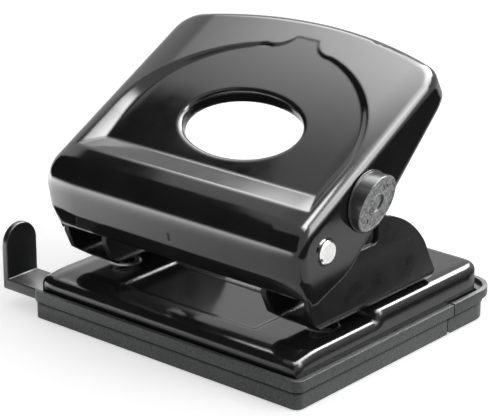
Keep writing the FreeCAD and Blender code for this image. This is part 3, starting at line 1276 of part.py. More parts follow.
def make_knob():
    """A round knob whose grip face slants, with a ring and a domed middle sunk in that face."""
    body = new_body("knob_body")
    base = f"({LEVER_HALF} + [side_gap])"
    flange = "[knob_radius] + [knob_flange]"
    seat = f"({base} + [knob_seat])"
    far = f"({base} + 3 * [knob_height])"
    profile = [
        (base, "[dog_bore]"),
        (base, flange),
        (f"{base} + [knob_flange_height]", flange),
        (f"{base} + 1.4 * [knob_flange_height]", "[knob_radius]"),
        (far, "[knob_radius]"),
        (far, "0"),
        (seat, "0"),
        (seat, "[dog_bore]"),
    ]
    turned(body, outline(new_sketch(body, "XZ_Plane"), profile))
    face = new_body("knob_face")
    ring = "([knob_radius] - [knob_rim])"
    groove = "([knob_hub] - [knob_face_drop])"
    face_profile = [
        ("3 * [knob_height]", "0"),
        ("3 * [knob_height]", "2 * [knob_radius]"),
        ("0", "2 * [knob_radius]"),
        ("0", ring),
        ("-[knob_face_drop]", f"{ring} - [knob_face_drop]"),
        ("-[knob_face_drop]", "[knob_hub] + 2 * [knob_face_drop]"),
        ("0", "[knob_hub] + [knob_face_drop]"),
        ("0", "[knob_hub]"),
        ("-[knob_cup]", groove),
        ("-[knob_cup]", f"{groove} - [knob_face_drop]"),
        ("-[knob_face_drop] / 4", "0"),
    ]
    turned(face, outline(new_sketch(face, "XZ_Plane"), face_profile,
                         {9: ("[knob_dome]", -1)}))
    turn = math.radians(size("knob_slant_turn"))
    slant_axis = Vector(0, math.cos(turn), math.sin(turn))
    face.Placement = FreeCAD.Placement(Vector(), Rotation(slant_axis, size("knob_slant")))
    bind(face, "Placement.Rotation.Angle", "[knob_slant]")
    bind(face, "Placement.Base.x", base + " + [knob_height]")
    knob = cut("knob_solid", body, face)
    place_knob(knob)
    keep(knob, "lock_knob")


def make_lock_shaft():
    body = new_body("shaft_body")
    dog_out = f"({DOG_INNER} + [dog_thickness])"
    shoulder = f"({LEVER_HALF} + [side_gap])"
    tip = f"({shoulder} + [knob_seat] - [cover_gap])"
    profile = [
        (DOG_INNER, "0"),
        (DOG_INNER, "[dog_bore]"),
        (dog_out, "[dog_bore]"),
        (dog_out, "[shaft_radius]"),
        (shoulder, "[shaft_radius]"),
        (shoulder, "[dog_bore]"),
        (tip, "[dog_bore]"),
        (tip, "0"),
    ]
    turned(body, outline(new_sketch(body, "XZ_Plane"), profile))
    place_knob(body)
    keep(body, "lock_shaft")


def make_lock_dog():
    """The dog points down into the notch when pressed, here turned by the open angle."""
    body = new_body("dog_body")
    half = "[dog_half_height]"
    end = "sqrt([dog_reach] * [dog_reach] - [dog_half_height] * [dog_half_height])"
    back = "sqrt([shaft_radius] * [shaft_radius] - [dog_half_height] * [dog_half_height])"
    points = [("-" + half, "-" + end), (half, "-" + end), (half, back), ("-" + half, back)]
    blade = outline(new_sketch(body, "YZ_Plane", DOG_INNER), points, {0: ("[dog_reach]", 1)})
    pad(body, blade, "[dog_thickness]")
    pad(body, circle(new_sketch(body, "YZ_Plane", DOG_INNER), "0", "0", "[shaft_radius]"),
        "[dog_thickness]")
    pocket(body, circle(new_sketch(body, "YZ_Plane"), "0", "0", "[dog_bore]"), FAR,
           reverse=True)
    place(body, "0", "0", "0", "[open_angle]")
    place_knob(body)
    keep(body, "lock_dog")


# Paper guide that slides out to the left.

def make_guide():
    stop_out = "-([guide_stop_face] + [guide_stop_thickness])"
    arm = box("guide_arm", stop_out, "[guide_tail]", GUIDE_FRONT, GUIDE_REAR, "[guide_base]",
              GUIDE_TOP)
    lug = box("guide_end_lug", "[guide_tail] - [guide_lug]", "[guide_tail]",
              GUIDE_FRONT + " + [stop_inset] + [lug_play]",
              GUIDE_REAR + " - [stop_inset] - [lug_play]", FLOOR_TOP + " + [lug_clear]",
              "[guide_base]")
    body = new_body("guide_stop")
    half = "([guide_width] / 2)"
    middle = f"({GUIDE_FRONT} + [guide_width] / 2)"
    spring_line = f"([guide_stop_top] - {half})"
    points = [(GUIDE_FRONT, "[guide_base]"), (GUIDE_REAR, "[guide_base]"),
              (GUIDE_REAR, spring_line), (middle, "[guide_stop_top]"),
              (GUIDE_FRONT, spring_line)]
    sketch = outline(new_sketch(body, "YZ_Plane", stop_out), points,
                     {2: (half, 1), 3: (half, 1)})
    pad(body, sketch, "[guide_stop_thickness]")
    keep(fuse("guide_solid", [arm, lug, body]), "paper_guide")


def make_keeper():
    strap = box("keeper_strap", "-[keeper_side] - [keeper_width] / 2",
                "-[keeper_side] + [keeper_width] / 2",
                PLATE_FRONT + " + [plate_sheet] + [keeper_plate_gap]",
                KEEPER_Y + " + [keeper_boss_radius]", KEEPER_LOW,
                KEEPER_LOW + " + [keeper_thickness]")
    hole = post("keeper_hole", "[screw_radius]", "-[keeper_side]", KEEPER_Y, "0", FAR)
    keep(cut("keeper_solid", strap, hole), "guide_keeper")


def make_keeper_screw():
    seat = KEEPER_LOW + " + [keeper_thickness]"
    head = post("keeper_screw_head", "[screw_head_radius]", "-[keeper_side]", KEEPER_Y,
                seat, seat + " + [keeper_head_height]")
    shank = post("keeper_screw_shank", "[screw_radius]", "-[keeper_side]", KEEPER_Y,
                 FLOOR_TOP + " + [keeper_thread_floor]", seat)
    keep(fuse("keeper_screw_solid", [head, shank]), "guide_keeper_screw")


make_tray()
make_hatch()
make_hatch_pins()
make_feet()
make_plate()
make_standoffs()
make_tray_screws()
for side_name, side_sign in SIDES:
    make_bracket(side_name, side_sign)
    make_bush(side_name, side_sign)
    make_die(side_name, side_sign)
    make_punch(side_name, side_sign)
    make_spring(side_name, side_sign)
    make_press_arm(side_name, side_sign)
make_rivets()
make_axle()
make_axle_clips()
make_lever()
make_rollers()
make_knob()
make_lock_shaft()
make_lock_dog()
make_guide()
make_keeper()
make_keeper_screw()
doc.recompute()

failed = [item.Name for item in doc.Objects
          if any(word in ("Invalid", "Error") for word in item.State)]
if failed:
    raise RuntimeError("failed objects: " + ", ".join(failed))
for sub_part in SUB_PARTS:
    if sub_part.Shape.isNull() or not sub_part.Shape.isValid():
        raise RuntimeError("bad shape: " + sub_part.Label)

os.makedirs("parts", exist_ok=True)
for sub_part in SUB_PARTS:
    sub_part.Shape.exportStep(os.path.join("parts", sub_part.Label + ".step"))
    extent = sub_part.Shape.BoundBox
    print(f"{sub_part.Label}: {len(sub_part.Shape.Solids)} solids, volume "
          f"{sub_part.Shape.Volume:.0f}, x {extent.XMin:.1f} {extent.XMax:.1f}, "
          f"y {extent.YMin:.1f} {extent.YMax:.1f}, z {extent.ZMin:.1f} {extent.ZMax:.1f}")
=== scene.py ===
"""Looks of the two-hole desk punch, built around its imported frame, in metres."""

import json
import logging
import math
from dataclasses import dataclass, field
from enum import Enum

import bpy
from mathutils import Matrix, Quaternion, Vector

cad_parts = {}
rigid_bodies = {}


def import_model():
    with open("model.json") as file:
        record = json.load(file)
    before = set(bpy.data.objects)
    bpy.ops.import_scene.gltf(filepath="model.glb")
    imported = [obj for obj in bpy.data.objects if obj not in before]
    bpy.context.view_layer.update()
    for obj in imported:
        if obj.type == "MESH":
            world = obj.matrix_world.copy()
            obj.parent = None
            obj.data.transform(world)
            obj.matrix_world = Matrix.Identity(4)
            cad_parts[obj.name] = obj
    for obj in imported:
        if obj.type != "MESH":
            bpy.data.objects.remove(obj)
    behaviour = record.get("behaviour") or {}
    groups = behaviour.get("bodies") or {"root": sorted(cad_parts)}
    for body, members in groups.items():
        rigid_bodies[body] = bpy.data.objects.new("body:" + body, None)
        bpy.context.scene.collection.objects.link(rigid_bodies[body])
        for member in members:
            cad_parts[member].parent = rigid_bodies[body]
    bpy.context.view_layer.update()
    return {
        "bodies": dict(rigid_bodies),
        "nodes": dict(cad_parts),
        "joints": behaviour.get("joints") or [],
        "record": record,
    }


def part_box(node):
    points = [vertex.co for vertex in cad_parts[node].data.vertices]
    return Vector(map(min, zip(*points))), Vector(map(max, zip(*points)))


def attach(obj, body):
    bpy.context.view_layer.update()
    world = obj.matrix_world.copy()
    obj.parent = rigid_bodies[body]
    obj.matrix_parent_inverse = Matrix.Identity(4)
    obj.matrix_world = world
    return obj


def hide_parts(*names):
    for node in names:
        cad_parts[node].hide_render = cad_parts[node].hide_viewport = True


LOG = logging.getLogger("hole_punch")

MM = 0.001
Point = tuple[float, float, float]
Colour = tuple[float, float, float]
Pair = tuple[float, float]
Rings = tuple[tuple[float, float], ...]


class Body(Enum):
    """The groups of the punch that carry modelled pieces."""

    BASE = "base"
    LOCK = "lock"
    GUIDE = "guide"
    HATCH = "hatch"


class Facing(Enum):
    """Where a soft box faces."""

    PUNCH = "punch"
    DOWN = "down"
    UP = "up"


# Shader building blocks.


class Shader:
    """A small helper that adds and joins shader nodes of one material."""

    def __init__(self, name: str) -> None:
        """Start an empty material with a surface shader.

        Args:
            name: The name of the material.
        """
        self.material = bpy.data.materials.new(name)
        self.material.use_nodes = True
        self.tree = self.material.node_tree
        self.surface = self.tree.nodes["Principled BSDF"]
        self.place = self.tree.nodes.new("ShaderNodeTexCoord").outputs["Object"]

    def node(self, kind: str, **settings: object) -> bpy.types.Node:
        """Add a node and set its properties.

        Args:
            kind: The node's type without the common first part.
            settings: Properties of the node.

        Returns:
            The new node.
        """
        made = self.tree.nodes.new("ShaderNode" + kind)
        for name, value in settings.items():
            setattr(made, name, value)
        return made

    def join(self, start: bpy.types.NodeSocket, end: bpy.types.NodeSocket) -> None:
        """Link one socket to another."""
        self.tree.links.new(start, end)

    def noise(self, scale: float, detail: float = 3.0,
              stretch: Point = (1, 1, 1)) -> bpy.types.NodeSocket:
        """Noise on object coordinates.

        Args:
            scale: Features per metre.
            detail: Octaves of the noise.
            stretch: Scale of each axis, for brushed or drawn surfaces.

        Returns:
            The noise value's socket.
        """
        mapping = self.node("Mapping")
        mapping.inputs["Scale"].default_value = stretch
        self.join(self.place, mapping.inputs["Vector"])
        noise = self.node("TexNoise")
        noise.inputs["Scale"].default_value = scale
        noise.inputs["Detail"].default_value = detail
        self.join(mapping.outputs["Vector"], noise.inputs["Vector"])
        return noise.outputs["Fac"]

    def cells(self, scale: float) -> bpy.types.NodeSocket:
        """Smooth cells on object coordinates, the base of a moulded grain.

        Args:
            scale: Cells per metre.

        Returns:
            The distance value's socket.
        """
        cells = self.node("TexVoronoi", feature="SMOOTH_F1")
        cells.inputs["Scale"].default_value = scale
        cells.inputs["Smoothness"].default_value = 0.6
        self.join(self.place, cells.inputs["Vector"])
        return cells.outputs["Distance"]

    def rings(self, centre: Point, scale: float) -> bpy.types.NodeSocket:
        """Fine turning marks around a lengthwise axis.

        Args:
            centre: A point on the axis.
            scale: Marks per metre of radius.

        Returns:
            The marks' socket.
        """
        offset = self.node("VectorMath", operation="SUBTRACT")
        offset.inputs[1].default_value = centre
        self.join(self.place, offset.inputs[0])
        across = self.node("VectorMath", operation="MULTIPLY")
        across.inputs[1].default_value = (0, 1, 1)
        self.join(offset.outputs["Vector"], across.inputs[0])
        radius = self.node("VectorMath", operation="LENGTH")
        self.join(across.outputs["Vector"], radius.inputs[0])
        noise = self.node("TexNoise", noise_dimensions="1D")
        noise.inputs["Scale"].default_value = scale
        self.join(radius.outputs["Value"], noise.inputs["W"])
        return noise.outputs["Fac"]

    def blend(self, factor: bpy.types.NodeSocket, low: float, high: float,
              start: float = 0.3, end: float = 0.7) -> bpy.types.NodeSocket:
        """Spread a pattern between two values.

        Args:
            factor: The pattern.
            low: Result at the start of the pattern's range.
            high: Result at its end.
            start: Where the range starts.
            end: Where the range ends.

        Returns:
            The spread value's socket.
        """
        spread = self.node("MapRange")
        for name, value in (("From Min", start), ("From Max", end), ("To Min", low),
                            ("To Max", high)):
            spread.inputs[name].default_value = value
        self.join(factor, spread.inputs["Value"])
        return spread.outputs["Result"]

    def tint(self, factor: bpy.types.NodeSocket, first: Colour, second: Colour) -> None:
        """Colour the surface between two tones.

        Args:
            factor: The pattern that mixes them.
            first: Tone at the low end.
            second: Tone at the high end.
        """
        mix = self.node("Mix", data_type="RGBA")
        mix.inputs["A"].default_value = (*first, 1)
        mix.inputs["B"].default_value = (*second, 1)
        self.join(factor, mix.inputs["Factor"])
        self.join(mix.outputs["Result"], self.surface.inputs["Base Color"])

    def painted_ledge_shade(self, top: float, depth: float, full: float = 0.3) -> bpy.types.NodeSocket:
        """Painted shade that fades upwards from nothing to one just below an overhanging step.

        Args:
            top: Height of the overhanging step.
            depth: How far below it the painted shade reaches.
            full: Share of that depth, next to the step, that lies in full painted shade.

        Returns:
            The painted shade's socket.
        """
        across = self.node("SeparateXYZ")
        self.join(self.place, across.inputs[0])
        shade = self.blend(across.outputs["Z"], 0.0, 1.0, top - depth, top - full * depth)
        below = self.node("Math", operation="LESS_THAN")
        below.inputs[1].default_value = top
        self.join(across.outputs["Z"], below.inputs[0])
        total = self.node("Math", operation="MULTIPLY")
        self.join(shade, total.inputs[0])
        self.join(below.outputs[0], total.inputs[1])
        return total.outputs[0]

    def roughen(self, pattern: bpy.types.NodeSocket, roughness: float, spread: Pair) -> None:
        """Vary the surface's roughness by a pattern.

        Args:
            pattern: Where the surface is rougher.
            roughness: The finish's own roughness.
            spread: Its shares at the low and the high end of the pattern.
        """
        low, high = spread
        rough = self.blend(pattern, roughness * low, roughness * high)
        self.join(rough, self.surface.inputs["Roughness"])

    def shade(self, factor: bpy.types.NodeSocket, left: float) -> None:
        """Paint shade into the surface's colour and sheen by a pattern.

        Args:
            factor: Where the painted shade lies.
            left: Share of the light that is left in full shade.
        """
        base = self.surface.inputs["Base Color"]
        mix = self.node("Mix", data_type="RGBA")
        mix.inputs["B"].default_value = (0, 0, 0, 1)
        self.join(base.links[0].from_socket, mix.inputs["A"])
        self.join(self.blend(factor, 0.0, 1.0 - left, 0.0, 1.0), mix.inputs["Factor"])
        self.join(mix.outputs["Result"], base)
        level = self.surface.inputs["Specular IOR Level"]
        full = level.default_value
        self.join(self.blend(factor, full, full * left, 0.0, 1.0), level)

    def crown(self, middle: Point, radius: Point) -> bpy.types.NodeSocket:
        """Height of a shallow pressed crown over the object's place.

        Args:
            middle: Where the crown is highest.
            radius: Radius of the crown along each axis.

        Returns:
            The height's socket, in metres.
        """
        shift = self.node("VectorMath", operation="SUBTRACT")
        shift.inputs[1].default_value = middle
        self.join(self.place, shift.inputs[0])
        square = self.node("VectorMath", operation="MULTIPLY")
        self.join(shift.outputs["Vector"], square.inputs[0])
        self.join(shift.outputs["Vector"], square.inputs[1])
        total = self.node("VectorMath", operation="DOT_PRODUCT")
        total.inputs[1].default_value = tuple(-0.5 / part for part in radius)
        self.join(square.outputs["Vector"], total.inputs[0])
        return total.outputs["Value"]

    def shoulder(self, start: float, end: float, tilt: float) -> bpy.types.NodeSocket:
        """Height that rolls off towards both ends of the punch.

        Args:
            start: Where the surface starts to roll off, from the middle.
            end: Where it has reached its full tilt.
            tilt: Slope reached there.

        Returns:
            The height's socket, in metres.
        """
        across = self.node("SeparateXYZ")
        self.join(self.place, across.inputs[0])
        total = across.outputs["X"]
        for operation, value in (("ABSOLUTE", 0.0), ("SUBTRACT", start), ("MAXIMUM", 0.0),
                                 ("POWER", 2.0), ("MULTIPLY", -0.5 * tilt / (end - start))):
            step = self.node("Math", operation=operation)
            self.join(total, step.inputs[0])
            step.inputs[1].default_value = value
            total = step.outputs[0]
        return total

    def bump(self, *layers: tuple[bpy.types.NodeSocket, float], edge: float = 0.0) -> None:
        """Raise the surface by one or more patterns.

        Args:
            layers: Each pattern with its height in metres.
            edge: Radius by which edges are softened, in metres.
        """
        before = None
        if edge:
            bevel = self.node("Bevel", samples=8)
            bevel.inputs["Radius"].default_value = edge
            before = bevel.outputs["Normal"]
        for pattern, height in layers:
            bump = self.node("Bump")
            bump.inputs["Strength"].default_value = 1.0
            bump.inputs["Distance"].default_value = height
            self.join(pattern, bump.inputs["Height"])
            if before is not None:
                self.join(before, bump.inputs["Normal"])
            before = bump.outputs["Normal"]
        self.join(before, self.surface.inputs["Normal"])


@dataclass(frozen=True)
class Enamel:
    """Stoved black paint: a deep film with a faint ripple under a clear gloss."""

    name: str
    tone: float = 0.011
    lighter: float = 1.5
    cloud_scale: float = 60.0
    roughness: float = 0.1
    haze_scale: float = 180.0
    haze: Pair = (0.8, 1.25)
    coat: float = 0.0
    coat_roughness: float = 0.04
    ripple: float = 0.6e-6
    ripple_scale: float = 420.0
    grain: float = 0.0
    grain_scale: float = 2600.0
    specular: float = 0.5
    edge: float = 0.0
    crown: tuple[Point, Point] | None = None
    shoulder: tuple[float, float, float] | None = None

    def build(self) -> bpy.types.Material:
        """Build the material."""
        shader = Shader(self.name)
        cloud = shader.noise(self.cloud_scale)
        shader.tint(shader.blend(cloud, 0, 1), (self.tone,) * 3,
                    (self.tone * self.lighter,) * 3)
        shader.roughen(shader.noise(self.haze_scale, 5.0), self.roughness, self.haze)
        layers = [(shader.noise(self.ripple_scale, 2.0), self.ripple)]
        if self.grain:
            layers.append((shader.cells(self.grain_scale), self.grain))
        if self.crown:
            layers.append((shader.crown(*self.crown), 1.0))
        if self.shoulder:
            layers.append((shader.shoulder(*self.shoulder), 1.0))
        shader.bump(*layers, edge=self.edge)
        shader.surface.inputs["Specular IOR Level"].default_value = self.specular
        shader.surface.inputs["Coat Weight"].default_value = self.coat
        shader.surface.inputs["Coat Roughness"].default_value = self.coat_roughness
        return shader.material


@dataclass(frozen=True)
class MouldedPlastic:
    """Moulded plastic with an etched grain, a little rubbed shine and, where given, painted shade
    under an overhanging band.
    """

    name: str
    tone: Colour = (0.02, 0.021, 0.021)
    roughness: float = 0.42
    grain_scale: float = 1500.0
    grain_depth: float = 12e-6
    edge: float = 0.4e-3
    finer_scale: float = 2.2
    finer_depth: float = 0.5
    cloud_scale: float = 90.0
    lighter: float = 1.35
    rubbed_scale: float = 35.0
    rubbed: Pair = (0.85, 1.15)
    # Top and depth of the painted shade under an overhanging band, and the share of light left in
    # it.
    painted_ledge_shade: Pair | None = None
    painted_shade_left: float = 0.12

    def build(self) -> bpy.types.Material:
        """Build the material."""
        shader = Shader(self.name)
        cloud = shader.noise(self.cloud_scale, 4.0)
        lighter = tuple(channel * self.lighter for channel in self.tone)
        shader.tint(shader.blend(cloud, 0, 1), self.tone, lighter)
        # Painted shade in colour and sheen just under the overhanging upper band.
        if self.painted_ledge_shade:
            shader.shade(shader.painted_ledge_shade(*self.painted_ledge_shade), self.painted_shade_left)
        shader.roughen(shader.noise(self.rubbed_scale, 5.0), self.roughness, self.rubbed)
        finer = shader.noise(self.grain_scale * self.finer_scale, 2.0)
        shader.bump((shader.cells(self.grain_scale), self.grain_depth),
                    (finer, self.grain_depth * self.finer_depth), edge=self.edge)
        return shader.material


@dataclass(frozen=True)
class BareMetal:
    """Bright or darkened steel with drawn, turned or tumbled marks."""

    name: str
    tone: Colour = (0.62, 0.61, 0.59)
    roughness: float = 0.22
    mark_scale: float = 900.0
    stretch: Point = (1, 1, 1)
    mark_depth: float = 1.5e-6
    dull: float = 0.82
    patch_scale: float = 140.0
    worn: Pair = (0.75, 1.3)
    turned_about: Point | None = None

    def build(self) -> bpy.types.Material:
        """Build the material."""
        shader = Shader(self.name)
        shader.surface.inputs["Metallic"].default_value = 1.0
        if self.turned_about:
            marks = shader.rings(self.turned_about, self.mark_scale)
        else:
            marks = shader.noise(self.mark_scale, 4.0, self.stretch)
        dull = tuple(channel * self.dull for channel in self.tone)
        patches = shader.noise(self.patch_scale, 4.0)
        shader.tint(shader.blend(patches, 0, 1), dull, self.tone)
        shader.roughen(marks, self.roughness, self.worn)
        shader.bump((marks, self.mark_depth))
        return shader.material


@dataclass(frozen=True)
class Rubber:
    """Dull black rubber with a fine bloom."""

    name: str
    tone: Colour = (0.018, 0.018, 0.018)
    paler: float = 2.0
    bloom_scale: float = 260.0
    roughness: Pair = (0.72, 0.9)
    grain_scale: float = 2200.0
    grain_depth: float = 10e-6

    def build(self) -> bpy.types.Material:
        """Build the material."""
        shader = Shader(self.name)
        bloom = shader.noise(self.bloom_scale, 5.0)
        paler = tuple(channel * self.paler for channel in self.tone)
        shader.tint(shader.blend(bloom, 0, 1), self.tone, paler)
        shader.roughen(bloom, 1.0, self.roughness)
        shader.bump((shader.noise(self.grain_scale), self.grain_depth))
        return shader.material


# The finish of each material slot, and the finishes that the knob's face, the lever and
# the base plate have for themselves.
FINISHES: dict[str, Enamel | MouldedPlastic | BareMetal | Rubber] = {
    "gloss_black_steel": Enamel("gloss_black_enamel", edge=1.2e-3),
    "lever_steel": Enamel("lever_gloss_enamel", edge=1.4e-3, shoulder=(0.038, 0.048, 0.22),
                          crown=((0.0, 0.01, 0.07), (0.9, 1.2, 1.2))),
    "plate_steel": Enamel("plate_gloss_enamel", edge=2.2e-3, shoulder=(0.0455, 0.0505, 0.42)),
    "satin_black_steel": Enamel("satin_black_enamel", tone=0.008, roughness=0.3,
                                specular=0.22, grain=4e-6, edge=0.6e-3),
    # The tray's plastic carries painted shade just under the step of its upper band.
    "tray_plastic": MouldedPlastic("grained_tray_plastic", tone=(0.014, 0.0155, 0.0152),
                                   grain_scale=2200.0, grain_depth=110e-6, edge=0.15e-3,
                                   cloud_scale=1200.0, lighter=3.4, painted_ledge_shade=(5.85e-3, 1.3e-3)),
    "guide_plastic": MouldedPlastic("smooth_guide_plastic", tone=(0.012, 0.0125, 0.0125),
                                    roughness=0.3, grain_depth=4e-6),
    "knob_plastic": MouldedPlastic("smooth_knob_plastic", tone=(0.03, 0.031, 0.0305),
                                   roughness=0.3, grain_scale=2600.0, grain_depth=6e-6),
    # The knob's grip face: a real etched grain bump, with a lighter mottled colour that is painted
    # glints of the grain.
    "knob_grain_and_glints": MouldedPlastic("grained_knob_plastic_and_painted_glints", tone=(0.05, 0.051, 0.0505),
                                 roughness=0.36, grain_scale=1500.0, grain_depth=160e-6,
                                 cloud_scale=1100.0, lighter=9.0),
    "bright_axle_steel": BareMetal("turned_axle_steel", tone=(0.96, 0.96, 0.95), roughness=0.2,
                                   mark_scale=5000.0, turned_about=(0, -0.0127, 0.044)),
    "tool_steel": BareMetal("ground_tool_steel", tone=(0.5, 0.5, 0.49), roughness=0.16,
                            stretch=(1, 1, 18)),
    "plain_steel": BareMetal("zinc_plated_steel", tone=(0.55, 0.56, 0.57), roughness=0.34),
    "spring_steel": BareMetal("drawn_spring_wire", tone=(0.42, 0.41, 0.4), roughness=0.25),
    "pin_steel": BareMetal("drawn_pin_steel", tone=(0.6, 0.6, 0.6), roughness=0.2,
                           stretch=(14, 1, 1)),
    "screw_steel": BareMetal("plated_screw_steel", tone=(0.6, 0.6, 0.58), roughness=0.3),
    "black_rivet_steel": Enamel("rivet_enamel", tone=0.02, roughness=0.3, coat=0.3),
    "foot_rubber": Rubber("foot_rubber"),
}

NODE_FINISHES = {"handle_lever": "lever_steel", "base_plate": "plate_steel"}


@dataclass
class Finishes:
    """Builds each finish once and dresses the frame's nodes with them."""

    made: dict[str, bpy.types.Material] = field(default_factory=dict)

    def get(self, slot: str) -> bpy.types.Material:
        """The material of a slot, built when it is first asked for."""
        if slot not in self.made:
            self.made[slot] = FINISHES[slot].build()
        return self.made[slot]

    def dress(self, name: str, node: bpy.types.Object) -> None:
        """Swap a node's plain materials for the finished ones.

        Args:
            name: The node's name.
            node: The node.
        """
        for holder in node.material_slots:
            slot = holder.material.name.split(".")[0]
            holder.material = self.get(NODE_FINISHES.get(name, slot))

    def cover(self, piece: bpy.types.Object, slot: str) -> None:
        """Give a modelled piece one finish all over."""
        piece.data.materials.clear()
        piece.data.materials.append(self.get(slot))


def hand_in(piece: bpy.types.Object, node: str, body: Body) -> None:
    """Put a dressed piece in a node's place.

    Args:
        piece: The finished piece.
        node: The node that it replaces.
        body: The moving group that carries it.
    """
    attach(piece, body.value)
    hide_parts(node)
    LOG.info("placed %s", piece.name)


# Camera, floor and lights.


@dataclass(frozen=True)
class SoftBox:
    """One soft box with feathered edges, seen by the punch alone."""

    name: str
    place: Point
    width: float
    height: float
    radiance: float
    feather: Pair = (0.5, 0.5)
    in_gloss: bool = True
    in_matt: bool = False
    facing: Facing = Facing.PUNCH
    turn: float = 0.0

    def hang(self, target: Vector) -> None:
        """Hang the lamp with its face to the target, to the floor or to the ceiling.

        Args:
            target: What the lamp faces.
        """
        data = bpy.data.lights.new(self.name, "AREA")
        data.shape = "RECTANGLE"
        data.size, data.size_y = self.width, self.height
        data.energy = self.radiance * self.width * self.height * math.pi
        self.soften(data)
        lamp = bpy.data.objects.new(self.name, data)
        lamp.location = self.place
        if self.facing is Facing.PUNCH:
            sight = target - Vector(self.place)
            lamp.rotation_euler = sight.to_track_quat("-Z", "Y").to_euler()
        else:
            roll = math.pi if self.facing is Facing.UP else 0.0
            lamp.rotation_euler = (roll, 0, math.radians(self.turn))
        lamp.visible_camera = False
        lamp.visible_glossy = self.in_gloss
        lamp.visible_diffuse = self.in_matt
        bpy.context.scene.collection.objects.link(lamp)

    def soften(self, data: bpy.types.Light) -> None:
        """Fade the lamp's face towards its edges.

        Args:
            data: The lamp to fade.
        """
        data.use_nodes = True
        tree = data.node_tree
        across = tree.nodes.new("ShaderNodeSeparateXYZ")
        tree.links.new(tree.nodes.new("ShaderNodeNewGeometry").outputs["Parametric"],
                       across.inputs[0])
        product = tree.nodes.new("ShaderNodeMath")
        product.operation = "MULTIPLY"
        for side, part in enumerate(self.feather):
            offset = tree.nodes.new("ShaderNodeMath")
            offset.operation = "SUBTRACT"
            offset.inputs[1].default_value = 0.5
            tree.links.new(across.outputs[side], offset.inputs[0])
            size = tree.nodes.new("ShaderNodeMath")
            size.operation = "ABSOLUTE"
            tree.links.new(offset.outputs[0], size.inputs[0])
            fade = tree.nodes.new("ShaderNodeMapRange")
            fade.interpolation_type = "SMOOTHSTEP"
            fade.inputs["From Min"].default_value = 0.5
            fade.inputs["From Max"].default_value = 0.5 - part / 2
            tree.links.new(size.outputs[0], fade.inputs["Value"])
            tree.links.new(fade.outputs["Result"], product.inputs[side])
        tree.links.new(product.outputs[0], tree.nodes["Emission"].inputs["Strength"])


@dataclass(frozen=True)
class BlackCard:
    """A matt black card, seen only in reflections, that darkens what the glossy parts mirror from
    one side.
    """

    name: str
    corners: tuple[Point, Point, Point, Point]
    cloud_scale: float = 40.0
    tones: Pair = (0.01, 0.014)

    def stand(self) -> None:
        """Stand the card in the room, out of the camera's sight."""
        mesh = bpy.data.meshes.new(self.name)
        mesh.from_pydata(self.corners, [], [(0, 1, 2, 3)])
        card = bpy.data.objects.new(self.name, mesh)
        shader = Shader(self.name)
        dark, pale = self.tones
        shader.tint(shader.noise(self.cloud_scale), (dark,) * 3, (pale,) * 3)
        shader.surface.inputs["Roughness"].default_value = 1.0
        shader.surface.inputs["Specular IOR Level"].default_value = 0.0
        mesh.materials.append(shader.material)
        bpy.context.scene.collection.objects.link(card)
        for ray in ("camera", "diffuse", "shadow", "transmission"):
            setattr(card, "visible_" + ray, False)


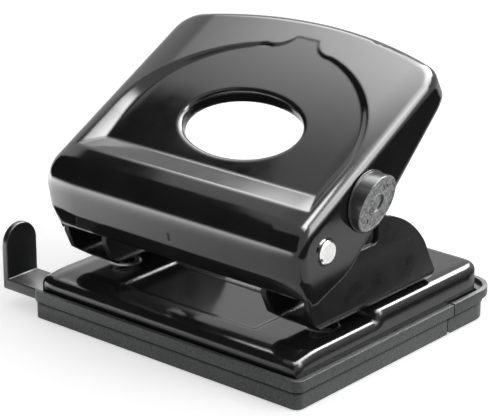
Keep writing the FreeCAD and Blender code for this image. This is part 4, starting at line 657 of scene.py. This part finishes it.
@dataclass
class Studio:
    """A white room with soft boxes, and black cards on the camera's side."""

    eye: Point = (0.42242, -0.48142, 0.27898)
    pitch: float = 20.349
    yaw: float = 40.612
    lens: float = 167.0
    sensor: float = 36.0
    floor_size: float = 6.0
    floor_tone: float = 0.82
    floor_roughness: float = 0.9
    floor_sheen: float = 0.1
    floor_glow: float = 0.5
    room_light: float = 0.5
    centre: Point = (0.0, 0.01, 0.06)
    boxes: tuple[SoftBox, ...] = (
        SoftBox("key_box", (0.9, 0.3, 0.8), 1.0, 1.0, 2.4, in_gloss=False, in_matt=True),
        SoftBox("ceiling_box", (0.25, 0.55, 0.9), 2.6, 1.1, 19.0, feather=(1.0, 0.6),
                facing=Facing.DOWN),
        SoftBox("zenith_box", (0.36, 0.04, 0.9), 0.95, 0.62, 22.0, facing=Facing.DOWN),
        SoftBox("rim_box", (0.1, 0.95, 0.86), 0.9, 0.46, 34.0),
        SoftBox("rear_left_box", (-0.6, 0.5, 0.7), 0.36, 0.26, 5.0),
        SoftBox("right_box", (0.78, 0.3, 0.42), 0.4, 0.8, 11.0),
        SoftBox("low_front_box", (-0.165, -0.19, 0.003), 0.7, 0.44, 6.0, feather=(0.5, 1.0),
                facing=Facing.UP, turn=-45),
    )
    cards: tuple[BlackCard, ...] = (
        BlackCard("left_card", ((-0.55, -0.75, 0), (-0.55, 0.08, 0), (-0.55, 0.08, 0.67),
                                (-0.55, -0.75, 0.67))),
        BlackCard("left_front_card", ((-0.55, -0.75, 0.67), (-0.55, 0.02, 0.67),
                                      (-0.55, 0.02, 0.88), (-0.55, -0.75, 0.88))),
        # These two lie on the floor and only darken the floor's reflection in the right-hand side
        # and the plate's skirt.
        BlackCard("side_strip_card", ((0.067, -0.04, 0.003), (0.098, -0.04, 0.003),
                                      (0.098, 0.2, 0.003), (0.067, 0.2, 0.003))),
        BlackCard("floor_card", ((0.15, -0.1, 0.003), (0.7, -0.1, 0.003), (0.7, 0.9, 0.003),
                                 (0.1, 0.35, 0.003))),
        BlackCard("front_card", ((-0.55, -0.75, 0), (0.8, -0.75, 0), (0.8, -0.75, 0.9),
                                 (-0.55, -0.75, 0.9))),
    )

    def build(self) -> None:
        """Set the camera, the floor, the world, the lamps and the cards."""
        self.set_camera()
        self.lay_floor()
        self.paint_world()
        for box in self.boxes:
            box.hang(Vector(self.centre))
        for card in self.cards:
            card.stand()

    def set_camera(self) -> None:
        """Place the camera at the photograph's angle."""
        data = bpy.data.cameras.new("camera")
        data.lens = self.lens
        data.sensor_width = self.sensor
        camera = bpy.data.objects.new("camera", data)
        camera.location = self.eye
        camera.rotation_euler = (math.radians(90 - self.pitch), 0, math.radians(self.yaw))
        bpy.context.scene.collection.objects.link(camera)
        bpy.context.scene.camera = camera

    def lay_floor(self) -> None:
        """A pale floor that shows white to the camera and keeps the shadow."""
        bpy.ops.object.select_all(action="DESELECT")
        bpy.ops.mesh.primitive_plane_add(size=self.floor_size)
        floor = bpy.context.object
        floor.name = "floor"
        shader = Shader("pale_floor")
        shader.surface.inputs["Base Color"].default_value = (self.floor_tone,) * 3 + (1,)
        shader.surface.inputs["Roughness"].default_value = self.floor_roughness
        shader.surface.inputs["Specular IOR Level"].default_value = self.floor_sheen
        seen = seen_directly(shader.tree)
        glow = shader.node("Math", operation="MULTIPLY")
        glow.inputs[1].default_value = self.floor_glow
        shader.join(seen, glow.inputs[0])
        shader.surface.inputs["Emission Color"].default_value = (1, 1, 1, 1)
        shader.join(glow.outputs[0], shader.surface.inputs["Emission Strength"])
        floor.data.materials.append(shader.material)

    def paint_world(self) -> None:
        """White to the camera and in reflections, softer as light on the object."""
        world = bpy.data.worlds.new("studio")
        bpy.context.scene.world = world
        world.use_nodes = True
        tree = world.node_tree
        background = tree.nodes["Background"]
        background.inputs["Color"].default_value = (1, 1, 1, 1)
        strength = tree.nodes.new("ShaderNodeMapRange")
        strength.inputs["To Min"].default_value = self.room_light
        strength.inputs["To Max"].default_value = 1.0
        tree.links.new(seen_directly(tree), strength.inputs["Value"])
        tree.links.new(strength.outputs["Result"], background.inputs["Strength"])


def seen_directly(tree: bpy.types.NodeTree) -> bpy.types.NodeSocket:
    """One where a camera, mirror or glass ray looks, else nought.

    Args:
        tree: The node tree to add to.

    Returns:
        The socket with the answer.
    """
    rays = tree.nodes.new("ShaderNodeLightPath")
    total = rays.outputs["Is Camera Ray"]
    for name in ("Is Glossy Ray", "Is Transmission Ray"):
        larger = tree.nodes.new("ShaderNodeMath")
        larger.operation = "MAXIMUM"
        tree.links.new(total, larger.inputs[0])
        tree.links.new(rays.outputs[name], larger.inputs[1])
        total = larger.outputs[0]
    return total


# Modelled pieces.


def select_only(thing: bpy.types.Object) -> None:
    """Make one object the only selected and the active one."""
    if bpy.context.mode != "OBJECT":
        bpy.ops.object.mode_set(mode="OBJECT")
    bpy.ops.object.select_all(action="DESELECT")
    thing.select_set(True)
    bpy.context.view_layer.objects.active = thing


def settle(thing: bpy.types.Object, smooth: float = 35.0) -> None:
    """Apply an object's place, face its surface outward and shade it.

    Args:
        thing: The finished piece.
        smooth: Steepest angle between faces that still shade as one surface, in degrees.
    """
    select_only(thing)
    bpy.ops.object.transform_apply(location=True, rotation=True, scale=True)
    bpy.ops.object.mode_set(mode="EDIT")
    bpy.ops.mesh.select_all(action="SELECT")
    bpy.ops.mesh.remove_doubles(threshold=1e-6)
    bpy.ops.mesh.normals_make_consistent(inside=False)
    bpy.ops.object.mode_set(mode="OBJECT")
    bpy.ops.object.shade_smooth_by_angle(angle=math.radians(smooth))


def join_parts(parts: list[bpy.types.Object], name: str, smooth: float = 35.0) -> bpy.types.Object:
    """Join modelled parts into one settled piece.

    Args:
        parts: The parts, the leading one first.
        name: The name of the piece.
        smooth: Steepest angle between faces that still shade as one surface, in degrees.

    Returns:
        The piece.
    """
    select_only(parts[0])
    for part in parts:
        part.select_set(True)
    bpy.ops.object.join()
    whole = bpy.context.object
    whole.name = name
    settle(whole, smooth)
    return whole


def around(rings: Rings, radius: float) -> list[tuple[float, float]]:
    """Rings in metres from steps in millimetres.

    Args:
        rings: Distance along the axis and step outward from the radius, in millimetres.
        radius: The radius that the steps start from, in metres.

    Returns:
        Distance and radius of each ring, in metres.
    """
    return [(distance * MM, radius + step * MM) for distance, step in rings]


@dataclass
class Turning:
    """A round piece drawn ring by ring along one direction."""

    name: str
    start: Vector
    along: Vector
    sides: int

    def build(self, rings: list[tuple[float, float]]) -> bpy.types.Object:
        """Extrude and scale a disc through every ring.

        Args:
            rings: Distance along the axis and radius of each ring, in metres.

        Returns:
            The closed round piece.
        """
        self.disc(*rings[0])
        self.grow(rings)
        bpy.ops.object.mode_set(mode="OBJECT")
        return bpy.context.object

    def disc(self, distance: float, radius: float) -> None:
        """Start with a filled disc, in edit mode with its face selected."""
        bpy.ops.object.select_all(action="DESELECT")
        bpy.ops.mesh.primitive_circle_add(
            vertices=self.sides, radius=radius, fill_type="NGON",
            location=self.start + self.along * distance,
            rotation=self.along.to_track_quat("Z", "Y").to_euler())
        bpy.context.object.name = self.name
        bpy.ops.object.transform_apply(location=True, rotation=True, scale=True)
        bpy.ops.object.mode_set(mode="EDIT")
        bpy.ops.mesh.select_all(action="SELECT")

    def grow(self, rings: list[tuple[float, float]]) -> None:
        """Carry the selected face on from the first ring to the last."""
        for (here, width), (there, next_width) in zip(rings, rings[1:]):
            step = self.along * (there - here)
            bpy.ops.mesh.extrude_region_move(TRANSFORM_OT_translate={"value": step})
            size = next_width / width
            bpy.ops.transform.resize(value=(size,) * 3,
                                     center_override=self.start + self.along * there)


@dataclass
class LockKnob:
    """The round knob that locks the lever, with a slanted grip face."""

    finishes: Finishes
    height: float = 3.4 * MM
    radius: float = 9.1 * MM
    slant: float = 16.0
    slant_turn: float = 18.0
    rim: float = 0.7 * MM
    hub: float = 3.0 * MM
    sides: int = 96
    foot_height: float = 0.4 * MM
    foot_neck: float = 0.9
    # Steps along the knob's direction and outward from the foot, edge, rim and hub, in mm.
    foot_rings: Rings = ((0.0, -0.1), (0.08, 0.0), (0.32, 0.0), (0.4, -0.1))
    edge_rings: Rings = ((-0.3, 0.0), (-0.12, -0.05), (0.0, -0.2))
    rim_rings: Rings = ((0.0, 0.1), (-0.08, 0.0), (-0.3, -0.2))
    hub_rings: Rings = ((-0.3, 0.75), (-0.08, 0.5), (0.0, 0.4), (0.0, 0.1), (-0.1, 0.0),
                        (-0.7, -0.25), (-0.7, -0.55))
    # The domed middle, from the floor of its cup.
    dome_floor: float = -0.7 * MM
    dome_rise: float = 0.6 * MM
    dome_inset: float = 0.7 * MM
    dome_angles: tuple[float, ...] = (0.0, 15.0, 30.0, 45.0, 60.0, 75.0)
    overrun: float = 3.0
    seat_gap: float = 0.05 * MM
    back_depth: float = 0.2 * MM
    # The bars of the two marks: side of the face and lean in degrees.
    bars: tuple[Pair, ...] = ((1, 35.0), (1, -40.0), (-1, 20.0))
    bar_size: Point = (0.45 * MM, 2.0 * MM, 0.3 * MM)
    bar_aside: float = 2.6 * MM
    bar_height: float = 4.9 * MM
    bar_spread: float = 0.55 * MM
    bar_sink: float = 0.2 * MM
    bar_edge: float = 0.1 * MM
    grain_facing: float = 0.6

    @property
    def normal(self) -> Vector:
        """Direction of the slanted face."""
        turn, slant = math.radians(self.slant_turn), math.radians(self.slant)
        return Vector((math.cos(slant), math.sin(slant) * math.sin(turn),
                       -math.sin(slant) * math.cos(turn)))

    def build(self) -> bpy.types.Object:
        """Model the knob and its marks in place of the plain one."""
        low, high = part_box("lock_knob")
        centre = Vector((low.x, (low.y + high.y) / 2, (low.z + high.z) / 2))
        face = centre + Vector((self.height, 0, 0))
        knob = self.grip(face, self.normal, low.x)
        foot = Turning("knob_foot", centre, Vector((1, 0, 0)), self.sides).build(
            around(self.foot_rings, (high.y - low.y) / 2)
            + [(self.foot_height, self.radius * self.foot_neck)])
        return join_parts([knob, foot] + self.marks(face, self.normal), "lock_knob_piece", 30.0)

    def grip(self, face: Vector, normal: Vector, base: float) -> bpy.types.Object:
        """The slanted grip with its rim, sunk ring, cup and domed middle.

        Args:
            face: Middle of the slanted face.
            normal: Direction of that face.
            base: Where the grip ends against the lever, along X.

        Returns:
            The grip, closed at its base.
        """
        turning = Turning("lock_knob_grip", face, normal, self.sides)
        rings = (around(self.edge_rings, self.radius)
                 + around(self.rim_rings, self.radius - self.rim)
                 + around(self.hub_rings, self.hub))
        for step in self.dome_angles:
            angle = math.radians(step)
            rings.append((self.dome_floor + self.dome_rise * math.sin(angle),
                          (self.hub - self.dome_inset) * math.cos(angle)))
        turning.disc(*rings[0])
        turning.grow(rings)
        self.open_back(face, normal, turning.sides)
        bpy.ops.mesh.select_non_manifold()
        bpy.ops.mesh.extrude_region_move(
            TRANSFORM_OT_translate={"value": (-self.overrun * self.height, 0, 0)})
        bpy.ops.mesh.select_all(action="SELECT")
        bpy.ops.mesh.bisect(plane_co=(base + self.seat_gap, 0, 0), plane_no=(-1, 0, 0),
                            use_fill=True, clear_outer=True)
        bpy.ops.object.mode_set(mode="OBJECT")
        return bpy.context.object

    def open_back(self, face: Vector, normal: Vector, sides: int) -> None:
        """Take away the first disc, so that its rim can be carried down to the lever.

        Args:
            face: Middle of the slanted face.
            normal: Direction of that face.
            sides: Corners of the disc.
        """
        bpy.ops.mesh.select_all(action="DESELECT")
        bpy.ops.object.mode_set(mode="OBJECT")
        for polygon in bpy.context.object.data.polygons:
            depth = (polygon.center - face).dot(normal)
            polygon.select = len(polygon.vertices) == sides and depth < -self.back_depth
        bpy.ops.object.mode_set(mode="EDIT")
        bpy.ops.mesh.delete(type="ONLY_FACE")

    def marks(self, face: Vector, normal: Vector) -> list[bpy.types.Object]:
        """Two small raised marks on the sunk ring of the face.

        Args:
            face: Middle of the slanted face.
            normal: Direction of that face.

        Returns:
            The bars of both marks.
        """
        across = normal.cross(Vector((0, 0, 1))).normalized()
        up = across.cross(normal)
        frame = normal.to_track_quat("Z", "Y")
        bars = []
        for side, lean in self.bars:
            spread = math.copysign(self.bar_spread, lean) * (side > 0)
            spot = across * (spread - side * self.bar_aside) + up * side * self.bar_height
            tilt = frame @ Quaternion((0, 0, 1), math.radians(lean))
            bpy.ops.object.select_all(action="DESELECT")
            bpy.ops.mesh.primitive_cube_add(
                size=1, location=face + spot - normal * self.bar_sink,
                rotation=tilt.to_euler(), scale=self.bar_size)
            bpy.ops.object.transform_apply(location=True, rotation=True, scale=True)
            bpy.ops.object.mode_set(mode="EDIT")
            bpy.ops.mesh.select_all(action="SELECT")
            bpy.ops.mesh.bevel(offset=self.bar_edge, segments=2)
            bpy.ops.object.mode_set(mode="OBJECT")
            bars.append(bpy.context.object)
        return bars

    def place(self) -> None:
        """Build the knob, dress it and let it turn with the lock."""
        knob = self.build()
        self.finishes.cover(knob, "knob_plastic")
        # The grip face takes the grained finish, whose mottled colour is painted glints over its
        # grain.
        knob.data.materials.append(self.finishes.get("knob_grain_and_glints"))
        grip_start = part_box("lock_knob")[0].x + 2 * self.foot_height
        for face in knob.data.polygons:
            fronting = face.normal.dot(self.normal) > self.grain_facing
            face.material_index = int(fronting and face.center.x > grip_start)
        hand_in(knob, "lock_knob", Body.LOCK)


@dataclass
class SoftCopies:
    """Pieces whose moulded or pressed edges are rounded over."""

    finishes: Finishes
    segments: int = 3
    sharp: float = 40.0
    flat: float = 0.5
    pieces: tuple[tuple[str, Body, str, float], ...] = (
        ("paper_guide", Body.GUIDE, "guide_plastic", 0.5 * MM),
        ("chip_tray", Body.BASE, "tray_plastic", 0.1 * MM),
        ("rear_hatch", Body.HATCH, "tray_plastic", 0.1 * MM),
        ("punch_bracket_left", Body.BASE, "satin_black_steel", 0.25 * MM),
        ("punch_bracket_right", Body.BASE, "satin_black_steel", 0.25 * MM),
    )

    def place(self, nodes: dict[str, bpy.types.Object]) -> None:
        """Round and dress a copy of every listed node.

        Args:
            nodes: The frame's nodes by name.
        """
        for name, body, slot, width in self.pieces:
            piece = self.soften(nodes[name], width)
            self.finishes.cover(piece, slot)
            hand_in(piece, name, body)

    def soften(self, node: bpy.types.Object, width: float) -> bpy.types.Object:
        """Copy a node's mesh and bevel its sharp edges.

        Args:
            node: The node to copy.
            width: Width of the rounding.

        Returns:
            The rounded copy.
        """
        piece = bpy.data.objects.new(node.name + "_piece", node.data.copy())
        bpy.context.scene.collection.objects.link(piece)
        select_only(piece)
        bpy.ops.mesh.customdata_custom_splitnormals_clear()
        bpy.ops.object.mode_set(mode="EDIT")
        bpy.ops.mesh.select_all(action="SELECT")
        bpy.ops.mesh.remove_doubles(threshold=1e-6)
        bpy.ops.mesh.normals_make_consistent(inside=False)
        bpy.ops.mesh.dissolve_limited(angle_limit=math.radians(self.flat))
        bpy.ops.object.mode_set(mode="OBJECT")
        rounding = piece.modifiers.new("rounding", "BEVEL")
        rounding.width = width
        rounding.segments = self.segments
        rounding.limit_method = "ANGLE"
        rounding.angle_limit = math.radians(self.sharp)
        bpy.ops.object.modifier_apply(modifier=rounding.name)
        settle(piece)
        return piece


@dataclass
class Feet:
    """Four rubber feet with a rounded edge and a hollow underside."""

    finishes: Finishes
    radius: float = 4.0 * MM
    side_rings: Rings = ((0.0, 0.0), (0.7, 0.0), (1.05, -0.12))
    sole_outer: float = 0.5 * MM
    sole_inner: float = 1.2 * MM
    hollow_depth: float = 0.4 * MM
    hollow_start: float = 1.6 * MM
    hollow_end: float = 0.4 * MM
    sides: int = 48

    def rings(self, height: float) -> list[tuple[float, float]]:
        """Rings of one foot from its pocket down to the hollow of its sole."""
        hollow = height - self.hollow_depth
        return around(self.side_rings, self.radius) + [
            (height, self.radius - self.sole_outer), (height, self.radius - self.sole_inner),
            (hollow, self.radius - self.hollow_start), (hollow, self.hollow_end)]

    def place(self) -> None:
        """Turn a foot in every pocket of the tray."""
        low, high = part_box("rubber_feet")
        feet = []
        for x in (low.x + self.radius, high.x - self.radius):
            for y in (low.y + self.radius, high.y - self.radius):
                turning = Turning("rubber_foot", Vector((x, y, high.z)), Vector((0, 0, -1)),
                                  self.sides)
                feet.append(turning.build(self.rings(high.z)))
        whole = join_parts(feet, "rubber_feet_piece")
        self.finishes.cover(whole, "foot_rubber")
        hand_in(whole, "rubber_feet", Body.BASE)


@dataclass
class Rivets:
    """Four bracket rivets with domed heads above and below."""

    finishes: Finishes
    head: float = 3.4 * MM
    head_height: float = 1.4 * MM
    head_angles: tuple[float, ...] = (84, 66, 48, 30, 14, 0)
    shank: float = 2.0 * MM
    spacing: float = 80.0 * MM
    places: Pair = (22.0 * MM, 34.0 * MM)
    sides: int = 40

    def rings(self, length: float) -> list[tuple[float, float]]:
        """Rings of one rivet from the lower head to the upper one."""
        dome = [(self.head_height * (1 - math.sin(math.radians(angle))),
                 self.head * math.cos(math.radians(angle))) for angle in self.head_angles]
        upper = [(length - height, radius) for height, radius in reversed(dome)]
        middle = [(self.head_height, self.shank), (length - self.head_height, self.shank)]
        return dome + middle + upper

    def place(self) -> None:
        """Turn and dress the rivets."""
        low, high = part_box("bracket_rivets")
        rivets = []
        for x in (-self.spacing / 2, self.spacing / 2):
            for y in self.places:
                turning = Turning("bracket_rivet", Vector((x, y, low.z)), Vector((0, 0, 1)),
                                  self.sides)
                rivets.append(turning.build(self.rings(high.z - low.z)))
        whole = join_parts(rivets, "bracket_rivets_piece", 50.0)
        self.finishes.cover(whole, "black_rivet_steel")
        hand_in(whole, "bracket_rivets", Body.BASE)


def main() -> None:
    """Build the studio, dress the frame and add the modelled pieces."""
    logging.basicConfig(level=logging.INFO, format="%(message)s")
    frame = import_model()
    Studio().build()
    finishes = Finishes()
    for name, node in sorted(frame["nodes"].items()):
        finishes.dress(name, node)
        LOG.info("dressed %s", name)
    LockKnob(finishes).place()
    SoftCopies(finishes).place(frame["nodes"])
    Feet(finishes).place()
    Rivets(finishes).place()


if __name__ == "__main__":
    bpy.context.scene.view_settings.view_transform = "Standard"
    main()
